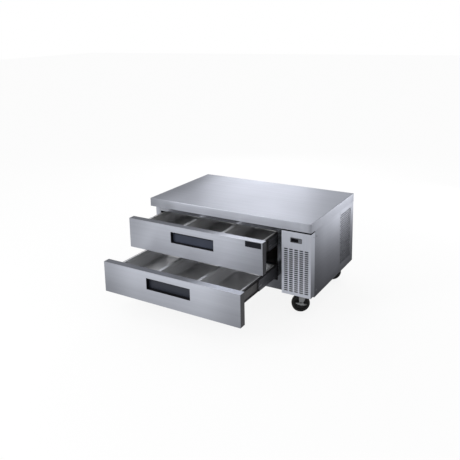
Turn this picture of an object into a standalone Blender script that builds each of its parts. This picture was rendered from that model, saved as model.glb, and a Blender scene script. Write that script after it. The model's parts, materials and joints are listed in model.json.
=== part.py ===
"""Refrigerated chef base: a low two-drawer refrigerator on casters that carries cooking equipment.

Metres, +Z up, +Y to the back, +X to the right. The origin is at the floor, at the middle of the
whole outline with both drawers as far open as they stand here. Each drawer runs on telescopic
slides, holds three full-size food pans, and closes with a gasket against the cabinet's front frame.
The machine bay is at the right, behind a louvred panel.
"""
import math

import bmesh
import bpy
from mathutils import Matrix, Vector

for old in list(bpy.data.objects):
    bpy.data.objects.remove(old)

# Sheets and the gap that touching pieces keep
SHEET = 0.001
FRAME_SHEET = 0.002
FIT_GAP = 0.0003
OVERRUN = 0.010
WELD = 0.00001
ROUND_SIDES = 16

# Full-size food pans, three in each drawer
PAN_WIDTH = 0.3245
PAN_LENGTH = 0.530
PAN_DEPTH = 0.100
PAN_SHEET = 0.001
PAN_COUNT = 3
PAN_RIM = 0.0115
PAN_RIM_GAP = 0.0005
PAN_PITCH = PAN_WIDTH + PAN_RIM_GAP

# Drawers, sized by the pans they carry
LOWER_STAYS_IN = 0.039
UPPER_STAYS_IN = 0.332
PAN_FRONT_INSET = 0.030
PAN_BACK_INSET = 0.040
PAN_SIDE_INSET = 0.0022
FRONT_THICK = 0.052
RIM_DROP = 0.050
FRONT_BELOW_PAN = 0.072
FRONT_GAP = 0.010
FRONT_TOP_GAP = 0.017
FRONT_SIDE_INSET = 0.0085
FRONT_TO_GRILLE = 0.006
FRAME_WALL = 0.0012
SLIDE_THICK = 0.0135
SLIDE_HEIGHT = 0.082
SLIDE_TOP_ROOM = 0.0043
DRAWER_DEPTH = PAN_FRONT_INSET + PAN_LENGTH + PAN_BACK_INSET
LOWER_OPEN = DRAWER_DEPTH - LOWER_STAYS_IN
UPPER_OPEN = DRAWER_DEPTH - UPPER_STAYS_IN
DRAWER_HALF = (PAN_COUNT * PAN_PITCH - PAN_RIM_GAP) / 2 + PAN_SIDE_INSET
FRONT_HEIGHT = RIM_DROP + PAN_DEPTH + FRONT_BELOW_PAN
SLIDE_DROP = RIM_DROP + FRAME_WALL + SLIDE_TOP_ROOM

# Casters
WHEEL_RADIUS = 0.0635
WHEEL_WIDTH = 0.032
WHEEL_ROOM = 0.0062
WHEEL_SIDE_ROOM = 0.0025
CROWN_THICK = 0.004
RACE_HEIGHT = 0.0135
PLATE_LENGTH = 0.100
PLATE_WIDTH = 0.084
PLATE_THICK = 0.005
CASTER_TRAIL = 0.035
PLATE_LEFT_MARGIN = 0.0345
PLATE_RIGHT_MARGIN = 0.0195
PLATE_FRONT_MARGIN = 0.001
PLATE_BACK_MARGIN = 0.0405
CROWN_TOP = 2 * WHEEL_RADIUS + WHEEL_ROOM + CROWN_THICK
PLATE_TOP = CROWN_TOP + FIT_GAP + RACE_HEIGHT + PLATE_THICK

# Cabinet, built up round the drawers and on the casters
TOP_THICK = 0.063
TOP_OVERHANG = 0.0015
STILE_WIDTH = 0.044
BAY_WALL_THICK = 0.0575
BAY_WIDTH = 0.218
GASKET_THICK = 0.0125
GASKET_SQUEEZE = 0.0005
DRAWER_BACK_ROOM = 0.0177
COVER_DEPTH = 0.094
BACK_WALL_THICK = 0.0357
BACK_RECESS = 0.019
SKIRT_DEPTH = 0.0183
FRONT_RISE = 0.008
PAN_FLOOR_ROOM = 0.0124
HEADER_HEIGHT = 0.051
SIDE_RETURN = 0.014
GRILLE_TO_SIDE = 0.004
GRILLE_TOP_GAP = 0.010
GRILLE_RISE = 0.014
GRILLE_SHEET = 0.0012
OPENING_WIDTH = 2 * (DRAWER_HALF + SLIDE_THICK + FIT_GAP)
FRAME_SETBACK = FRONT_THICK + GASKET_THICK + GASKET_SQUEEZE
CLOSED_DEPTH = FRONT_THICK + FIT_GAP + DRAWER_DEPTH
LINER_REACH = CLOSED_DEPTH + DRAWER_BACK_ROOM + COVER_DEPTH + FIT_GAP + SHEET
TOP_WIDTH = 2 * TOP_OVERHANG + STILE_WIDTH + OPENING_WIDTH + BAY_WALL_THICK + BAY_WIDTH + SHEET
TOP_DEPTH = LINER_REACH + BACK_WALL_THICK + BACK_RECESS
SILL_HEIGHT = FRONT_RISE + FRONT_BELOW_PAN - PAN_FLOOR_ROOM
GRILLE_WIDTH = BAY_WIDTH + SHEET - GRILLE_TO_SIDE

# Planes that many pieces share
FRONT = -(TOP_DEPTH - LOWER_OPEN) / 2
BACK = FRONT + TOP_DEPTH
RIGHT = TOP_WIDTH / 2
LEFT = -RIGHT
BASE_UNDERSIDE = PLATE_TOP + FIT_GAP
BASE_TOP = BASE_UNDERSIDE + SHEET
SKIRT_BOTTOM = BASE_UNDERSIDE - SKIRT_DEPTH
LOWER_TOP = SKIRT_BOTTOM + FRONT_RISE + FRONT_HEIGHT
UPPER_TOP = LOWER_TOP + FRONT_GAP + FRONT_HEIGHT
TOP_UNDERSIDE = UPPER_TOP + FRONT_TOP_GAP
OVERALL_HEIGHT = TOP_UNDERSIDE + TOP_THICK
SIDE_RIGHT = RIGHT - TOP_OVERHANG
SIDE_LEFT = -SIDE_RIGHT
FRAME_FACE = FRONT + FRAME_SETBACK
FRAME_BACK = FRAME_FACE + FRAME_SHEET
BACK_FACE = BACK - BACK_RECESS
SHELL_TOP = TOP_UNDERSIDE - FIT_GAP
OPENING_LEFT = SIDE_LEFT + STILE_WIDTH
OPENING_RIGHT = OPENING_LEFT + OPENING_WIDTH
OPENING_BOTTOM = SKIRT_BOTTOM + SILL_HEIGHT
OPENING_TOP = TOP_UNDERSIDE - HEADER_HEIGHT
OPENING_MIDDLE = (OPENING_LEFT + OPENING_RIGHT) / 2
LINER_BACK = FRONT + LINER_REACH
BAY_LEFT = OPENING_RIGHT + BAY_WALL_THICK
BAY_RIGHT = SIDE_RIGHT - SHEET
BAY_MIDDLE = (BAY_LEFT + BAY_RIGHT) / 2
GRILLE_LEFT = SIDE_RIGHT - GRILLE_WIDTH
GRILLE_MIDDLE = (GRILLE_LEFT + SIDE_RIGHT) / 2
GRILLE_TOP = TOP_UNDERSIDE - GRILLE_TOP_GAP
GRILLE_BOTTOM = SKIRT_BOTTOM + GRILLE_RISE
FRONT_LEFT = LEFT + FRONT_SIDE_INSET
FRONT_RIGHT = GRILLE_LEFT - FRONT_TO_GRILLE
FRONT_MIDDLE = (FRONT_LEFT + FRONT_RIGHT) / 2
DRAWER_FRONT = FRONT + FRONT_THICK + FIT_GAP
DRAWER_BACK = DRAWER_FRONT + DRAWER_DEPTH
PAN_MIDDLE_Y = DRAWER_FRONT + PAN_FRONT_INSET + PAN_LENGTH / 2

# Finishes: colour, roughness, metallic
FINISHES = {
    "brushed_steel": ((0.62, 0.63, 0.66), 0.32, 1.0),
    "liner_steel": ((0.52, 0.53, 0.55), 0.30, 1.0),
    "pan_steel": ((0.60, 0.61, 0.62), 0.22, 1.0),
    "slide_steel": ((0.05, 0.05, 0.055), 0.35, 0.8),
    "zinc_steel": ((0.50, 0.51, 0.53), 0.38, 1.0),
    "black_plastic": ((0.02, 0.022, 0.028), 0.45, 0.0),
    "grey_plastic": ((0.30, 0.31, 0.33), 0.50, 0.0),
    "gasket_vinyl": ((0.05, 0.05, 0.055), 0.65, 0.0),
    "rigid_foam": ((0.82, 0.74, 0.50), 0.85, 0.0),
    "black_enamel": ((0.015, 0.015, 0.017), 0.30, 0.0),
    "coil_aluminium": ((0.70, 0.71, 0.72), 0.35, 1.0),
    "copper": ((0.72, 0.42, 0.27), 0.30, 1.0),
    "tread_rubber": ((0.015, 0.015, 0.016), 0.60, 0.0),
}


def finish(name):
    """The Principled material of one finish, made on first use."""
    material = bpy.data.materials.get(name)
    if material:
        return material
    colour, roughness, metallic = FINISHES[name]
    material = bpy.data.materials.new(name)
    material.use_nodes = True
    shader = material.node_tree.nodes["Principled BSDF"]
    shader.inputs["Base Color"].default_value = (*colour, 1)
    shader.inputs["Roughness"].default_value = roughness
    shader.inputs["Metallic"].default_value = metallic
    material.diffuse_color = (*colour, 1)
    return material


def solid(mesh_data):
    """A loose object from a bmesh, ready to be united with others or used as a cutter."""
    bmesh.ops.recalc_face_normals(mesh_data, faces=mesh_data.faces[:])
    mesh = bpy.data.meshes.new("solid")
    mesh_data.to_mesh(mesh)
    mesh_data.free()
    shape = bpy.data.objects.new("solid", mesh)
    bpy.context.scene.collection.objects.link(shape)
    return shape


def boxes(*corner_pairs):
    """Separate boxes in one mesh, each given by its lowest and its highest corner."""
    mesh_data = bmesh.new()
    for low, high in corner_pairs:
        size = Vector(high) - Vector(low)
        middle = (Vector(high) + Vector(low)) / 2
        matrix = Matrix.Translation(middle) @ Matrix.Diagonal((*size, 1))
        bmesh.ops.create_cube(mesh_data, size=1, matrix=matrix)
    return solid(mesh_data)


def box(low, high):
    """One box from its lowest to its highest corner."""
    return boxes((low, high))


def rounded_box(low, high, radius, edges="z"):
    """A box whose edges along one axis, or all its edges, are rounded."""
    shape = box(low, high)
    mesh_data = bmesh.new()
    mesh_data.from_mesh(shape.data)
    axis = {"x": 0, "y": 1, "z": 2}.get(edges)
    chosen = []
    for edge in mesh_data.edges:
        along = edge.verts[0].co - edge.verts[1].co
        if axis is None or abs(along[axis]) > abs(along.length) / 2:
            chosen.append(edge)
    bmesh.ops.bevel(mesh_data, geom=chosen, offset=radius, segments=2, affect="EDGES")
    bpy.data.objects.remove(shape)
    return solid(mesh_data)


def along(axis):
    """The turn that takes +Z to the given direction."""
    return Vector((0, 0, 1)).rotation_difference(Vector(axis)).to_matrix().to_4x4()


def cylinder(start, axis, length, radius, sides=ROUND_SIDES):
    """A cylinder that begins at start and runs along axis."""
    mesh_data = bmesh.new()
    middle = Vector(start) + Vector(axis).normalized() * length / 2
    matrix = Matrix.Translation(middle) @ along(axis)
    size = {"radius1": radius, "radius2": radius, "depth": length}
    bmesh.ops.create_cone(mesh_data, cap_ends=True, segments=sides, matrix=matrix, **size)
    return solid(mesh_data)


def turned(origin, axis, profile, sides=ROUND_SIDES, first_angle=0.0):
    """A turned piece: profile lists (radius, distance along the axis), out from the axis and back."""
    mesh_data = bmesh.new()
    rings = []
    for radius, distance in profile:
        if radius == 0:
            rings.append([mesh_data.verts.new((0, 0, distance))])
            continue
        ring = []
        for k in range(sides):
            angle = first_angle + 2 * math.pi * k / sides
            ring.append(mesh_data.verts.new((radius * math.cos(angle), radius * math.sin(angle), distance)))
        rings.append(ring)
    closed = profile[0][0] > 0
    pairs = list(zip(rings, rings[1:])) + ([(rings[-1], rings[0])] if closed else [])
    for low, high in pairs:
        for k in range(sides):
            n = (k + 1) % sides
            corners = [low[k % len(low)], low[n % len(low)], high[n % len(high)], high[k % len(high)]]
            corners = list(dict.fromkeys(corners))
            mesh_data.faces.new(corners)
    mesh_data.transform(Matrix.Translation(Vector(origin)) @ along(axis))
    return solid(mesh_data)


def extruded(outline, direction):
    """A flat outline pushed along a direction."""
    mesh_data = bmesh.new()
    face = mesh_data.faces.new([mesh_data.verts.new(point) for point in outline])
    pushed = bmesh.ops.extrude_face_region(mesh_data, geom=[face])
    moved = [g for g in pushed["geom"] if isinstance(g, bmesh.types.BMVert)]
    bmesh.ops.translate(mesh_data, verts=moved, vec=Vector(direction))
    return solid(mesh_data)


def lofted(rings, closed=False):
    """A skin through rings of points, with its ends filled, or joined to each other when closed."""
    mesh_data = bmesh.new()
    loops = [[mesh_data.verts.new(point) for point in ring] for ring in rings]
    count = len(rings[0])
    pairs = list(zip(loops, loops[1:])) + ([(loops[-1], loops[0])] if closed else [])
    for low, high in pairs:
        for k in range(count):
            n = (k + 1) % count
            mesh_data.faces.new((low[k], low[n], high[n], high[k]))
    if not closed:
        mesh_data.faces.new(loops[0][::-1])
        mesh_data.faces.new(loops[-1])
    return solid(mesh_data)


def rounded_ring(middle_x, middle_y, half_x, half_y, radius, height, steps=2):
    """The points of a rectangle with round corners at one height."""
    points = []
    corners = ((1, 1, 0), (-1, 1, 90), (-1, -1, 180), (1, -1, 270))
    for side_x, side_y, start in corners:
        centre_x = middle_x + side_x * (half_x - radius)
        centre_y = middle_y + side_y * (half_y - radius)
        for k in range(steps + 1):
            angle = math.radians(start + 90 * k / steps)
            points.append((centre_x + radius * math.cos(angle), centre_y + radius * math.sin(angle), height))
    return points


def pipe(route, radius, resolution=1):
    """A round tube along a smooth curve through the route's points."""
    curve = bpy.data.curves.new("pipe", "CURVE")
    curve.dimensions = "3D"
    curve.bevel_depth = radius
    curve.bevel_resolution = resolution
    curve.use_fill_caps = True
    spline = curve.splines.new("POLY")
    spline.points.add(len(route) - 1)
    for point, place in zip(spline.points, route):
        point.co = (*place, 1)
    tube = bpy.data.objects.new("pipe", curve)
    bpy.context.scene.collection.objects.link(tube)
    mesh = bpy.data.meshes.new_from_object(tube.evaluated_get(bpy.context.evaluated_depsgraph_get()))
    bpy.data.objects.remove(tube)
    mesh_data = bmesh.new()
    mesh_data.from_mesh(mesh)
    bmesh.ops.remove_doubles(mesh_data, verts=mesh_data.verts, dist=WELD)
    return solid(mesh_data)


def rounded_route(corners, radius, steps=4):
    """The corners of a bent tube's run, each bend of one radius made of a few steps."""
    points = [Vector(corners[0])]
    for before, corner, after in zip(corners, corners[1:], corners[2:]):
        corner = Vector(corner)
        inward = (Vector(before) - corner).normalized()
        outward = (Vector(after) - corner).normalized()
        for k in range(steps + 1):
            share = k / steps
            first = corner + inward * radius * (1 - share)
            second = corner + outward * radius * share
            points.append(first.lerp(second, share))
    points.append(Vector(corners[-1]))
    return points


def boolean(target, tool, operation):
    """Unites the tool with the target or cuts it out, and removes the tool."""
    modifier = target.modifiers.new("boolean", "BOOLEAN")
    modifier.operation = operation
    modifier.object = tool
    mesh = bpy.data.meshes.new_from_object(target.evaluated_get(bpy.context.evaluated_depsgraph_get()))
    target.modifiers.clear()
    target.data = mesh
    bpy.data.objects.remove(tool)


def empty(name, place, turn=0.0, parent=None):
    """An empty that carries the pieces of one moving group."""
    holder = bpy.data.objects.new(name, None)
    holder.location = place
    holder.rotation_euler = (0, 0, turn)
    holder.parent = parent
    bpy.context.scene.collection.objects.link(holder)
    return holder


def piece(name, shapes, finish_name, cuts=(), parent=None, origin=(0, 0, 0), built_at=None):
    """One named sub-part: shapes united, cuts taken out, its origin set, its finish given.

    origin is where the piece's own origin lies in the space it was built in. A parent stands at
    built_at in that space, so that the piece moves with it to wherever the parent is placed.
    """
    body = shapes[0]
    for shape in shapes[1:]:
        boolean(body, shape, "UNION")
    for cut in cuts:
        boolean(body, cut, "DIFFERENCE")
    body.name = name
    body.data.name = name
    body.data.transform(Matrix.Translation(-Vector(origin)))
    body.parent = parent
    body.location = Vector(origin) - Vector(built_at if built_at else (0, 0, 0))
    body.data.materials.clear()
    body.data.materials.append(finish(finish_name))
    body.data.shade_smooth()
    body.data.set_sharp_from_angle(angle=math.radians(35))
    return body


# Worktop: a folded steel shell with a return all round its underside
TOP_SHEET = 0.0015
TOP_RETURN = 0.030
TOP_CORNER = 0.003


def make_worktop():
    """The stainless shell; the foam that fills it belongs to the cabinet's insulation."""
    shell = rounded_box((LEFT, FRONT, TOP_UNDERSIDE), (RIGHT, BACK, OVERALL_HEIGHT), TOP_CORNER)
    hollow = box(
        (LEFT + TOP_SHEET, FRONT + TOP_SHEET, TOP_UNDERSIDE + TOP_SHEET),
        (RIGHT - TOP_SHEET, BACK - TOP_SHEET, OVERALL_HEIGHT - TOP_SHEET),
    )
    mouth = box(
        (LEFT + TOP_RETURN, FRONT + TOP_RETURN, TOP_UNDERSIDE - OVERRUN),
        (RIGHT - TOP_RETURN, BACK - TOP_RETURN, TOP_UNDERSIDE + OVERRUN),
    )
    piece("worktop", [shell], "brushed_steel", [hollow, mouth])


# Refrigerant lines pass from the machine bay into the cold compartment here
LINE_RADIUS = 0.006
LINE_HOLE_RADIUS = 0.009
LINE_HOLE_FROM_BACK = 0.022
LINE_HOLE_HEIGHT = 0.400
LINE_HOLE_Y = LINER_BACK - LINE_HOLE_FROM_BACK


def line_hole():
    """The cutter for the refrigerant lines' way through the bay wall."""
    start = (OPENING_RIGHT - OVERRUN, LINE_HOLE_Y, LINE_HOLE_HEIGHT)
    return cylinder(start, (1, 0, 0), BAY_WALL_THICK + 2 * OVERRUN, LINE_HOLE_RADIUS)


def make_insulation():
    """Foamed-in-place insulation: five walls round the liner, and the filling of the worktop."""
    g = FIT_GAP
    walls = box(
        (SIDE_LEFT + SHEET + g, FRAME_BACK + g, BASE_TOP + g),
        (BAY_LEFT - g, BACK_FACE - g, TOP_UNDERSIDE + TOP_SHEET + OVERRUN),
    )
    slab = box(
        (LEFT + TOP_SHEET + g, FRONT + TOP_SHEET + g, TOP_UNDERSIDE + TOP_SHEET + g),
        (RIGHT - TOP_SHEET - g, BACK - TOP_SHEET - g, OVERALL_HEIGHT - TOP_SHEET - g),
    )
    return_ring = boxes(
        ((LEFT, FRONT, TOP_UNDERSIDE - g), (LEFT + TOP_RETURN + g, BACK, TOP_UNDERSIDE + TOP_SHEET + g)),
        ((RIGHT - TOP_RETURN - g, FRONT, TOP_UNDERSIDE - g), (RIGHT, BACK, TOP_UNDERSIDE + TOP_SHEET + g)),
    )
    back_return = box(
        (LEFT, BACK - TOP_RETURN - g, TOP_UNDERSIDE - g),
        (RIGHT, BACK, TOP_UNDERSIDE + TOP_SHEET + g),
    )
    cavity = box(
        (OPENING_LEFT - SHEET - g, FRAME_BACK - OVERRUN, OPENING_BOTTOM - SHEET - g),
        (OPENING_RIGHT + SHEET + g, LINER_BACK + g, OPENING_TOP + SHEET + g),
    )
    piece("cabinet_insulation", [walls, slab], "rigid_foam", [return_ring, back_return, cavity, line_hole()])


def make_liner():
    """The inner box of the cold compartment, open at the front."""
    outer = box(
        (OPENING_LEFT - SHEET, FRAME_BACK + FIT_GAP, OPENING_BOTTOM - SHEET),
        (OPENING_RIGHT + SHEET, LINER_BACK, OPENING_TOP + SHEET),
    )
    inner = box(
        (OPENING_LEFT, FRAME_BACK - OVERRUN, OPENING_BOTTOM),
        (OPENING_RIGHT, LINER_BACK - SHEET, OPENING_TOP),
    )
    piece("cabinet_liner", [outer], "liner_steel", [inner, line_hole()])


# The front frame's second opening, in front of the machine bay
BAY_FRAME_BORDER = 0.016


def make_front_frame():
    """The flat front of the cabinet: stiles, header, sill and the border of the machine bay."""
    plate = box((SIDE_LEFT, FRAME_FACE, SKIRT_BOTTOM), (SIDE_RIGHT, FRAME_BACK, SHELL_TOP))
    cold_opening = box(
        (OPENING_LEFT, FRAME_FACE - OVERRUN, OPENING_BOTTOM),
        (OPENING_RIGHT, FRAME_BACK + OVERRUN, OPENING_TOP),
    )
    bay_opening = box(
        (BAY_LEFT + BAY_FRAME_BORDER, FRAME_FACE - OVERRUN, BASE_TOP + BAY_FRAME_BORDER),
        (BAY_RIGHT - BAY_FRAME_BORDER, FRAME_BACK + OVERRUN, SHELL_TOP - BAY_FRAME_BORDER),
    )
    piece("front_frame", [plate], "brushed_steel", [cold_opening, bay_opening])


# Side panels: flat sheets with a return along the bottom and the back
SIDE_FRONT = FRAME_BACK + FIT_GAP
SIDE_BACK = BACK - TOP_OVERHANG

# Ventilated region of the right side panel
VENT_FRONT_DROP = 0.542
VENT_LENGTH = 0.193
VENT_TOP_DROP = 0.0245
VENT_HEIGHT = 0.385
VENT_COLUMNS = 7
VENT_ROWS = 11
VENT_HOLE = 0.014


def side_sheet(sign):
    """One side panel's folded sheet; sign is 1 at the right and -1 at the left."""
    outer, inner = sign * SIDE_RIGHT, sign * (SIDE_RIGHT - SHEET)
    fold = sign * (SIDE_RIGHT - SIDE_RETURN)
    low_x, high_x = sorted((outer, inner))
    fold_low, fold_high = sorted((outer, fold))
    sheet = box((low_x, SIDE_FRONT, SKIRT_BOTTOM), (high_x, SIDE_BACK, SHELL_TOP))
    bottom = box((fold_low, SIDE_FRONT, SKIRT_BOTTOM), (fold_high, SIDE_BACK, SKIRT_BOTTOM + SHEET))
    back = box((fold_low, SIDE_BACK - SHEET, SKIRT_BOTTOM), (fold_high, SIDE_BACK, SHELL_TOP))
    return [sheet, bottom, back]


def side_vents():
    """The cutters of the right panel's vent holes, in staggered rows."""
    pitch_y = VENT_LENGTH / VENT_COLUMNS
    pitch_z = VENT_HEIGHT / VENT_ROWS
    first_y = FRONT + VENT_FRONT_DROP + pitch_y / 2
    first_z = TOP_UNDERSIDE - VENT_TOP_DROP - VENT_HEIGHT + pitch_z / 2
    corner_pairs = []
    for row in range(VENT_ROWS):
        for column in range(VENT_COLUMNS - row % 2):
            y = first_y + pitch_y * (column + row % 2 / 2)
            z = first_z + pitch_z * row
            low = (BAY_RIGHT - OVERRUN, y - VENT_HOLE / 2, z - VENT_HOLE / 2)
            high = (SIDE_RIGHT + OVERRUN, y + VENT_HOLE / 2, z + VENT_HOLE / 2)
            corner_pairs.append((low, high))
    return boxes(*corner_pairs)


def make_side_panels():
    """The two outer side panels."""
    piece("left_side_panel", side_sheet(-1), "brushed_steel")
    piece("right_side_panel", side_sheet(1), "brushed_steel", [side_vents()])


# Back panel, with slots behind the machine bay and the hole of the cord's gland
BACK_SLOT_WIDTH = 0.070
BACK_SLOT_HEIGHT = 0.008
BACK_SLOT_PITCH = 0.022
BACK_SLOT_ROWS = 12
BACK_SLOT_COLUMNS = 2
BACK_SLOT_BOTTOM = 0.270
BACK_SLOT_GAP = 0.020
GLAND_HOLE_RADIUS = 0.0112
GLAND_SIDE_INSET = 0.060
GLAND_HEIGHT = 0.205
GLAND_X = BAY_RIGHT - GLAND_SIDE_INSET


def make_back_panel():
    """The outer back sheet, set in between the side panels' returns."""
    low_x, high_x = SIDE_LEFT + SHEET + FIT_GAP, SIDE_RIGHT - SHEET - FIT_GAP
    sheet = box((low_x, BACK_FACE, SKIRT_BOTTOM + SHEET + FIT_GAP), (high_x, BACK_FACE + SHEET, SHELL_TOP))
    corner_pairs = []
    for column in range(BACK_SLOT_COLUMNS):
        x = BAY_MIDDLE + (column - (BACK_SLOT_COLUMNS - 1) / 2) * (BACK_SLOT_WIDTH + BACK_SLOT_GAP)
        for row in range(BACK_SLOT_ROWS):
            z = BACK_SLOT_BOTTOM + row * BACK_SLOT_PITCH
            low = (x - BACK_SLOT_WIDTH / 2, BACK_FACE - OVERRUN, z)
            high = (x + BACK_SLOT_WIDTH / 2, BACK_FACE + OVERRUN, z + BACK_SLOT_HEIGHT)
            corner_pairs.append((low, high))
    hole = cylinder((GLAND_X, BACK_FACE - OVERRUN, GLAND_HEIGHT), (0, 1, 0), 2 * OVERRUN, GLAND_HOLE_RADIUS)
    piece("back_panel", [sheet], "zinc_steel", [boxes(*corner_pairs), hole])


# Base pan: the floor of the cabinet, with an upstand that walls off the machine bay
BASE_SLOT_LENGTH = 0.120
BASE_SLOT_WIDTH = 0.010
BASE_SLOT_PITCH = 0.030
BASE_SLOT_COUNT = 4


def make_base_pan():
    """The bottom sheet and the bay's wall in one fold, with drain slots under the bay."""
    low_x, high_x = SIDE_LEFT + SHEET + FIT_GAP, SIDE_RIGHT - SHEET - FIT_GAP
    low_y, high_y = FRAME_BACK + FIT_GAP, BACK_FACE - FIT_GAP
    floor = box((low_x, low_y, BASE_UNDERSIDE), (high_x, high_y, BASE_TOP))
    upstand = box((BAY_LEFT, low_y, BASE_UNDERSIDE), (BAY_LEFT + SHEET, high_y, SHELL_TOP))
    corner_pairs = []
    middle_y = (low_y + high_y) / 2
    for row in range(BASE_SLOT_COUNT):
        y = middle_y + (row - (BASE_SLOT_COUNT - 1) / 2) * BASE_SLOT_PITCH
        low = (BAY_MIDDLE - BASE_SLOT_LENGTH / 2, y - BASE_SLOT_WIDTH / 2, BASE_UNDERSIDE - OVERRUN)
        high = (BAY_MIDDLE + BASE_SLOT_LENGTH / 2, y + BASE_SLOT_WIDTH / 2, BASE_TOP + OVERRUN)
        corner_pairs.append((low, high))
    piece("base_pan", [floor, upstand], "zinc_steel", [boxes(*corner_pairs), line_hole()])


# Louvred front panel of the machine bay: slots in columns, and the controller above them
LOUVRE_WIDTH = 0.028
LOUVRE_HEIGHT = 0.0075
LOUVRE_PITCH_X = 0.0378
LOUVRE_PITCH_Z = 0.015
LOUVRE_TOP_DROP = 0.1266
LOUVRE_SIDE_MARGIN = 0.010
LOUVRE_BOTTOM_MARGIN = 0.024
LOUVRE_COLUMNS = int((GRILLE_WIDTH - 2 * LOUVRE_SIDE_MARGIN) / LOUVRE_PITCH_X)
LOUVRE_RUN = GRILLE_TOP - LOUVRE_TOP_DROP - GRILLE_BOTTOM - LOUVRE_BOTTOM_MARGIN
LOUVRE_ROWS = int((LOUVRE_RUN + LOUVRE_PITCH_Z) / LOUVRE_PITCH_Z)
CONTROLLER_WIDTH = 0.0835
CONTROLLER_HEIGHT = 0.034
CONTROLLER_DROP = 0.057
BEZEL_SIDE_LAP = 0.0035
BEZEL_TOP_LAP = 0.0025
CONTROLLER_BODY_WIDTH = CONTROLLER_WIDTH - 2 * BEZEL_SIDE_LAP
CONTROLLER_BODY_HEIGHT = CONTROLLER_HEIGHT - 2 * BEZEL_TOP_LAP
CONTROLLER_BODY_DEPTH = 0.055
CONTROLLER_Z = GRILLE_TOP - CONTROLLER_DROP


def make_grille_panel():
    """The box-shaped cover in front of the machine bay, open at the back."""
    back = FRAME_FACE - FIT_GAP
    outer = box((GRILLE_LEFT, FRONT, GRILLE_BOTTOM), (SIDE_RIGHT, back, GRILLE_TOP))
    inner = box(
        (GRILLE_LEFT + GRILLE_SHEET, FRONT + GRILLE_SHEET, GRILLE_BOTTOM + GRILLE_SHEET),
        (SIDE_RIGHT - GRILLE_SHEET, back + OVERRUN, GRILLE_TOP - GRILLE_SHEET),
    )
    corner_pairs = []
    for column in range(LOUVRE_COLUMNS):
        x = GRILLE_MIDDLE + (column - (LOUVRE_COLUMNS - 1) / 2) * LOUVRE_PITCH_X
        for row in range(LOUVRE_ROWS):
            z = GRILLE_TOP - LOUVRE_TOP_DROP - row * LOUVRE_PITCH_Z
            low = (x - LOUVRE_WIDTH / 2, FRONT - OVERRUN, z - LOUVRE_HEIGHT / 2)
            high = (x + LOUVRE_WIDTH / 2, FRONT + OVERRUN, z + LOUVRE_HEIGHT / 2)
            corner_pairs.append((low, high))
    half_x, half_z = CONTROLLER_BODY_WIDTH / 2 + FIT_GAP, CONTROLLER_BODY_HEIGHT / 2 + FIT_GAP
    cutout = box(
        (GRILLE_MIDDLE - half_x, FRONT - OVERRUN, CONTROLLER_Z - half_z),
        (GRILLE_MIDDLE + half_x, FRONT + OVERRUN, CONTROLLER_Z + half_z),
    )
    piece("grille_panel", [outer], "brushed_steel", [inner, boxes(*corner_pairs), cutout])


# Controller keys, in pockets of the controller's bezel
BEZEL_THICK = 0.003
BEZEL_CORNER = 0.002
KEY_WIDTH = 0.014
KEY_HEIGHT = 0.0105
KEY_SIDE_INSET = 0.006
KEY_BAR = 0.002
KEY_SPACING = KEY_HEIGHT + KEY_BAR
KEY_DEPTH = 0.004
KEY_PROUD = 0.0008
KEY_TRAVEL = 0.0008
KEY_X = GRILLE_MIDDLE + CONTROLLER_WIDTH / 2 - KEY_SIDE_INSET - KEY_WIDTH / 2
WINDOW_SIDE_INSET = 0.006
WINDOW_TO_KEYS = 0.0055
WINDOW_TOP_INSET = 0.005
WINDOW_WIDTH = CONTROLLER_WIDTH - WINDOW_SIDE_INSET - WINDOW_TO_KEYS - KEY_WIDTH - KEY_SIDE_INSET
WINDOW_HEIGHT = CONTROLLER_HEIGHT - 2 * WINDOW_TOP_INSET
WINDOW_SINK = 0.0006
BEZEL_FACE = FRONT - FIT_GAP - BEZEL_THICK


def key_places():
    """The keys' names with the heights of their middles."""
    return (("key_up", CONTROLLER_Z + KEY_SPACING / 2), ("key_down", CONTROLLER_Z - KEY_SPACING / 2))


def make_controller():
    """The temperature controller: bezel, sunk window, body behind the panel, and two keys."""
    bezel = rounded_box(
        (GRILLE_MIDDLE - CONTROLLER_WIDTH / 2, BEZEL_FACE, CONTROLLER_Z - CONTROLLER_HEIGHT / 2),
        (GRILLE_MIDDLE + CONTROLLER_WIDTH / 2, FRONT - FIT_GAP, CONTROLLER_Z + CONTROLLER_HEIGHT / 2),
        BEZEL_CORNER,
        "y",
    )
    half_x, half_z = CONTROLLER_BODY_WIDTH / 2, CONTROLLER_BODY_HEIGHT / 2
    body = box(
        (GRILLE_MIDDLE - half_x, BEZEL_FACE + BEZEL_THICK / 2, CONTROLLER_Z - half_z),
        (GRILLE_MIDDLE + half_x, FRONT + CONTROLLER_BODY_DEPTH, CONTROLLER_Z + half_z),
    )
    window_left = GRILLE_MIDDLE - CONTROLLER_WIDTH / 2 + WINDOW_SIDE_INSET
    window = box(
        (window_left, BEZEL_FACE - OVERRUN, CONTROLLER_Z - WINDOW_HEIGHT / 2),
        (window_left + WINDOW_WIDTH, BEZEL_FACE + WINDOW_SINK, CONTROLLER_Z + WINDOW_HEIGHT / 2),
    )
    pockets = []
    pocket_end = BEZEL_FACE - KEY_PROUD + KEY_DEPTH + KEY_TRAVEL + FIT_GAP
    for name, z in key_places():
        pockets.append((
            (KEY_X - KEY_WIDTH / 2 - FIT_GAP, BEZEL_FACE - OVERRUN, z - KEY_HEIGHT / 2 - FIT_GAP),
            (KEY_X + KEY_WIDTH / 2 + FIT_GAP, pocket_end, z + KEY_HEIGHT / 2 + FIT_GAP),
        ))
        key = box(
            (KEY_X - KEY_WIDTH / 2, BEZEL_FACE - KEY_PROUD, z - KEY_HEIGHT / 2),
            (KEY_X + KEY_WIDTH / 2, BEZEL_FACE - KEY_PROUD + KEY_DEPTH, z + KEY_HEIGHT / 2),
        )
        piece(name, [key], "grey_plastic", origin=(KEY_X, BEZEL_FACE, z))
    piece("controller", [bezel, body], "black_plastic", [window, boxes(*pockets)])


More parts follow.
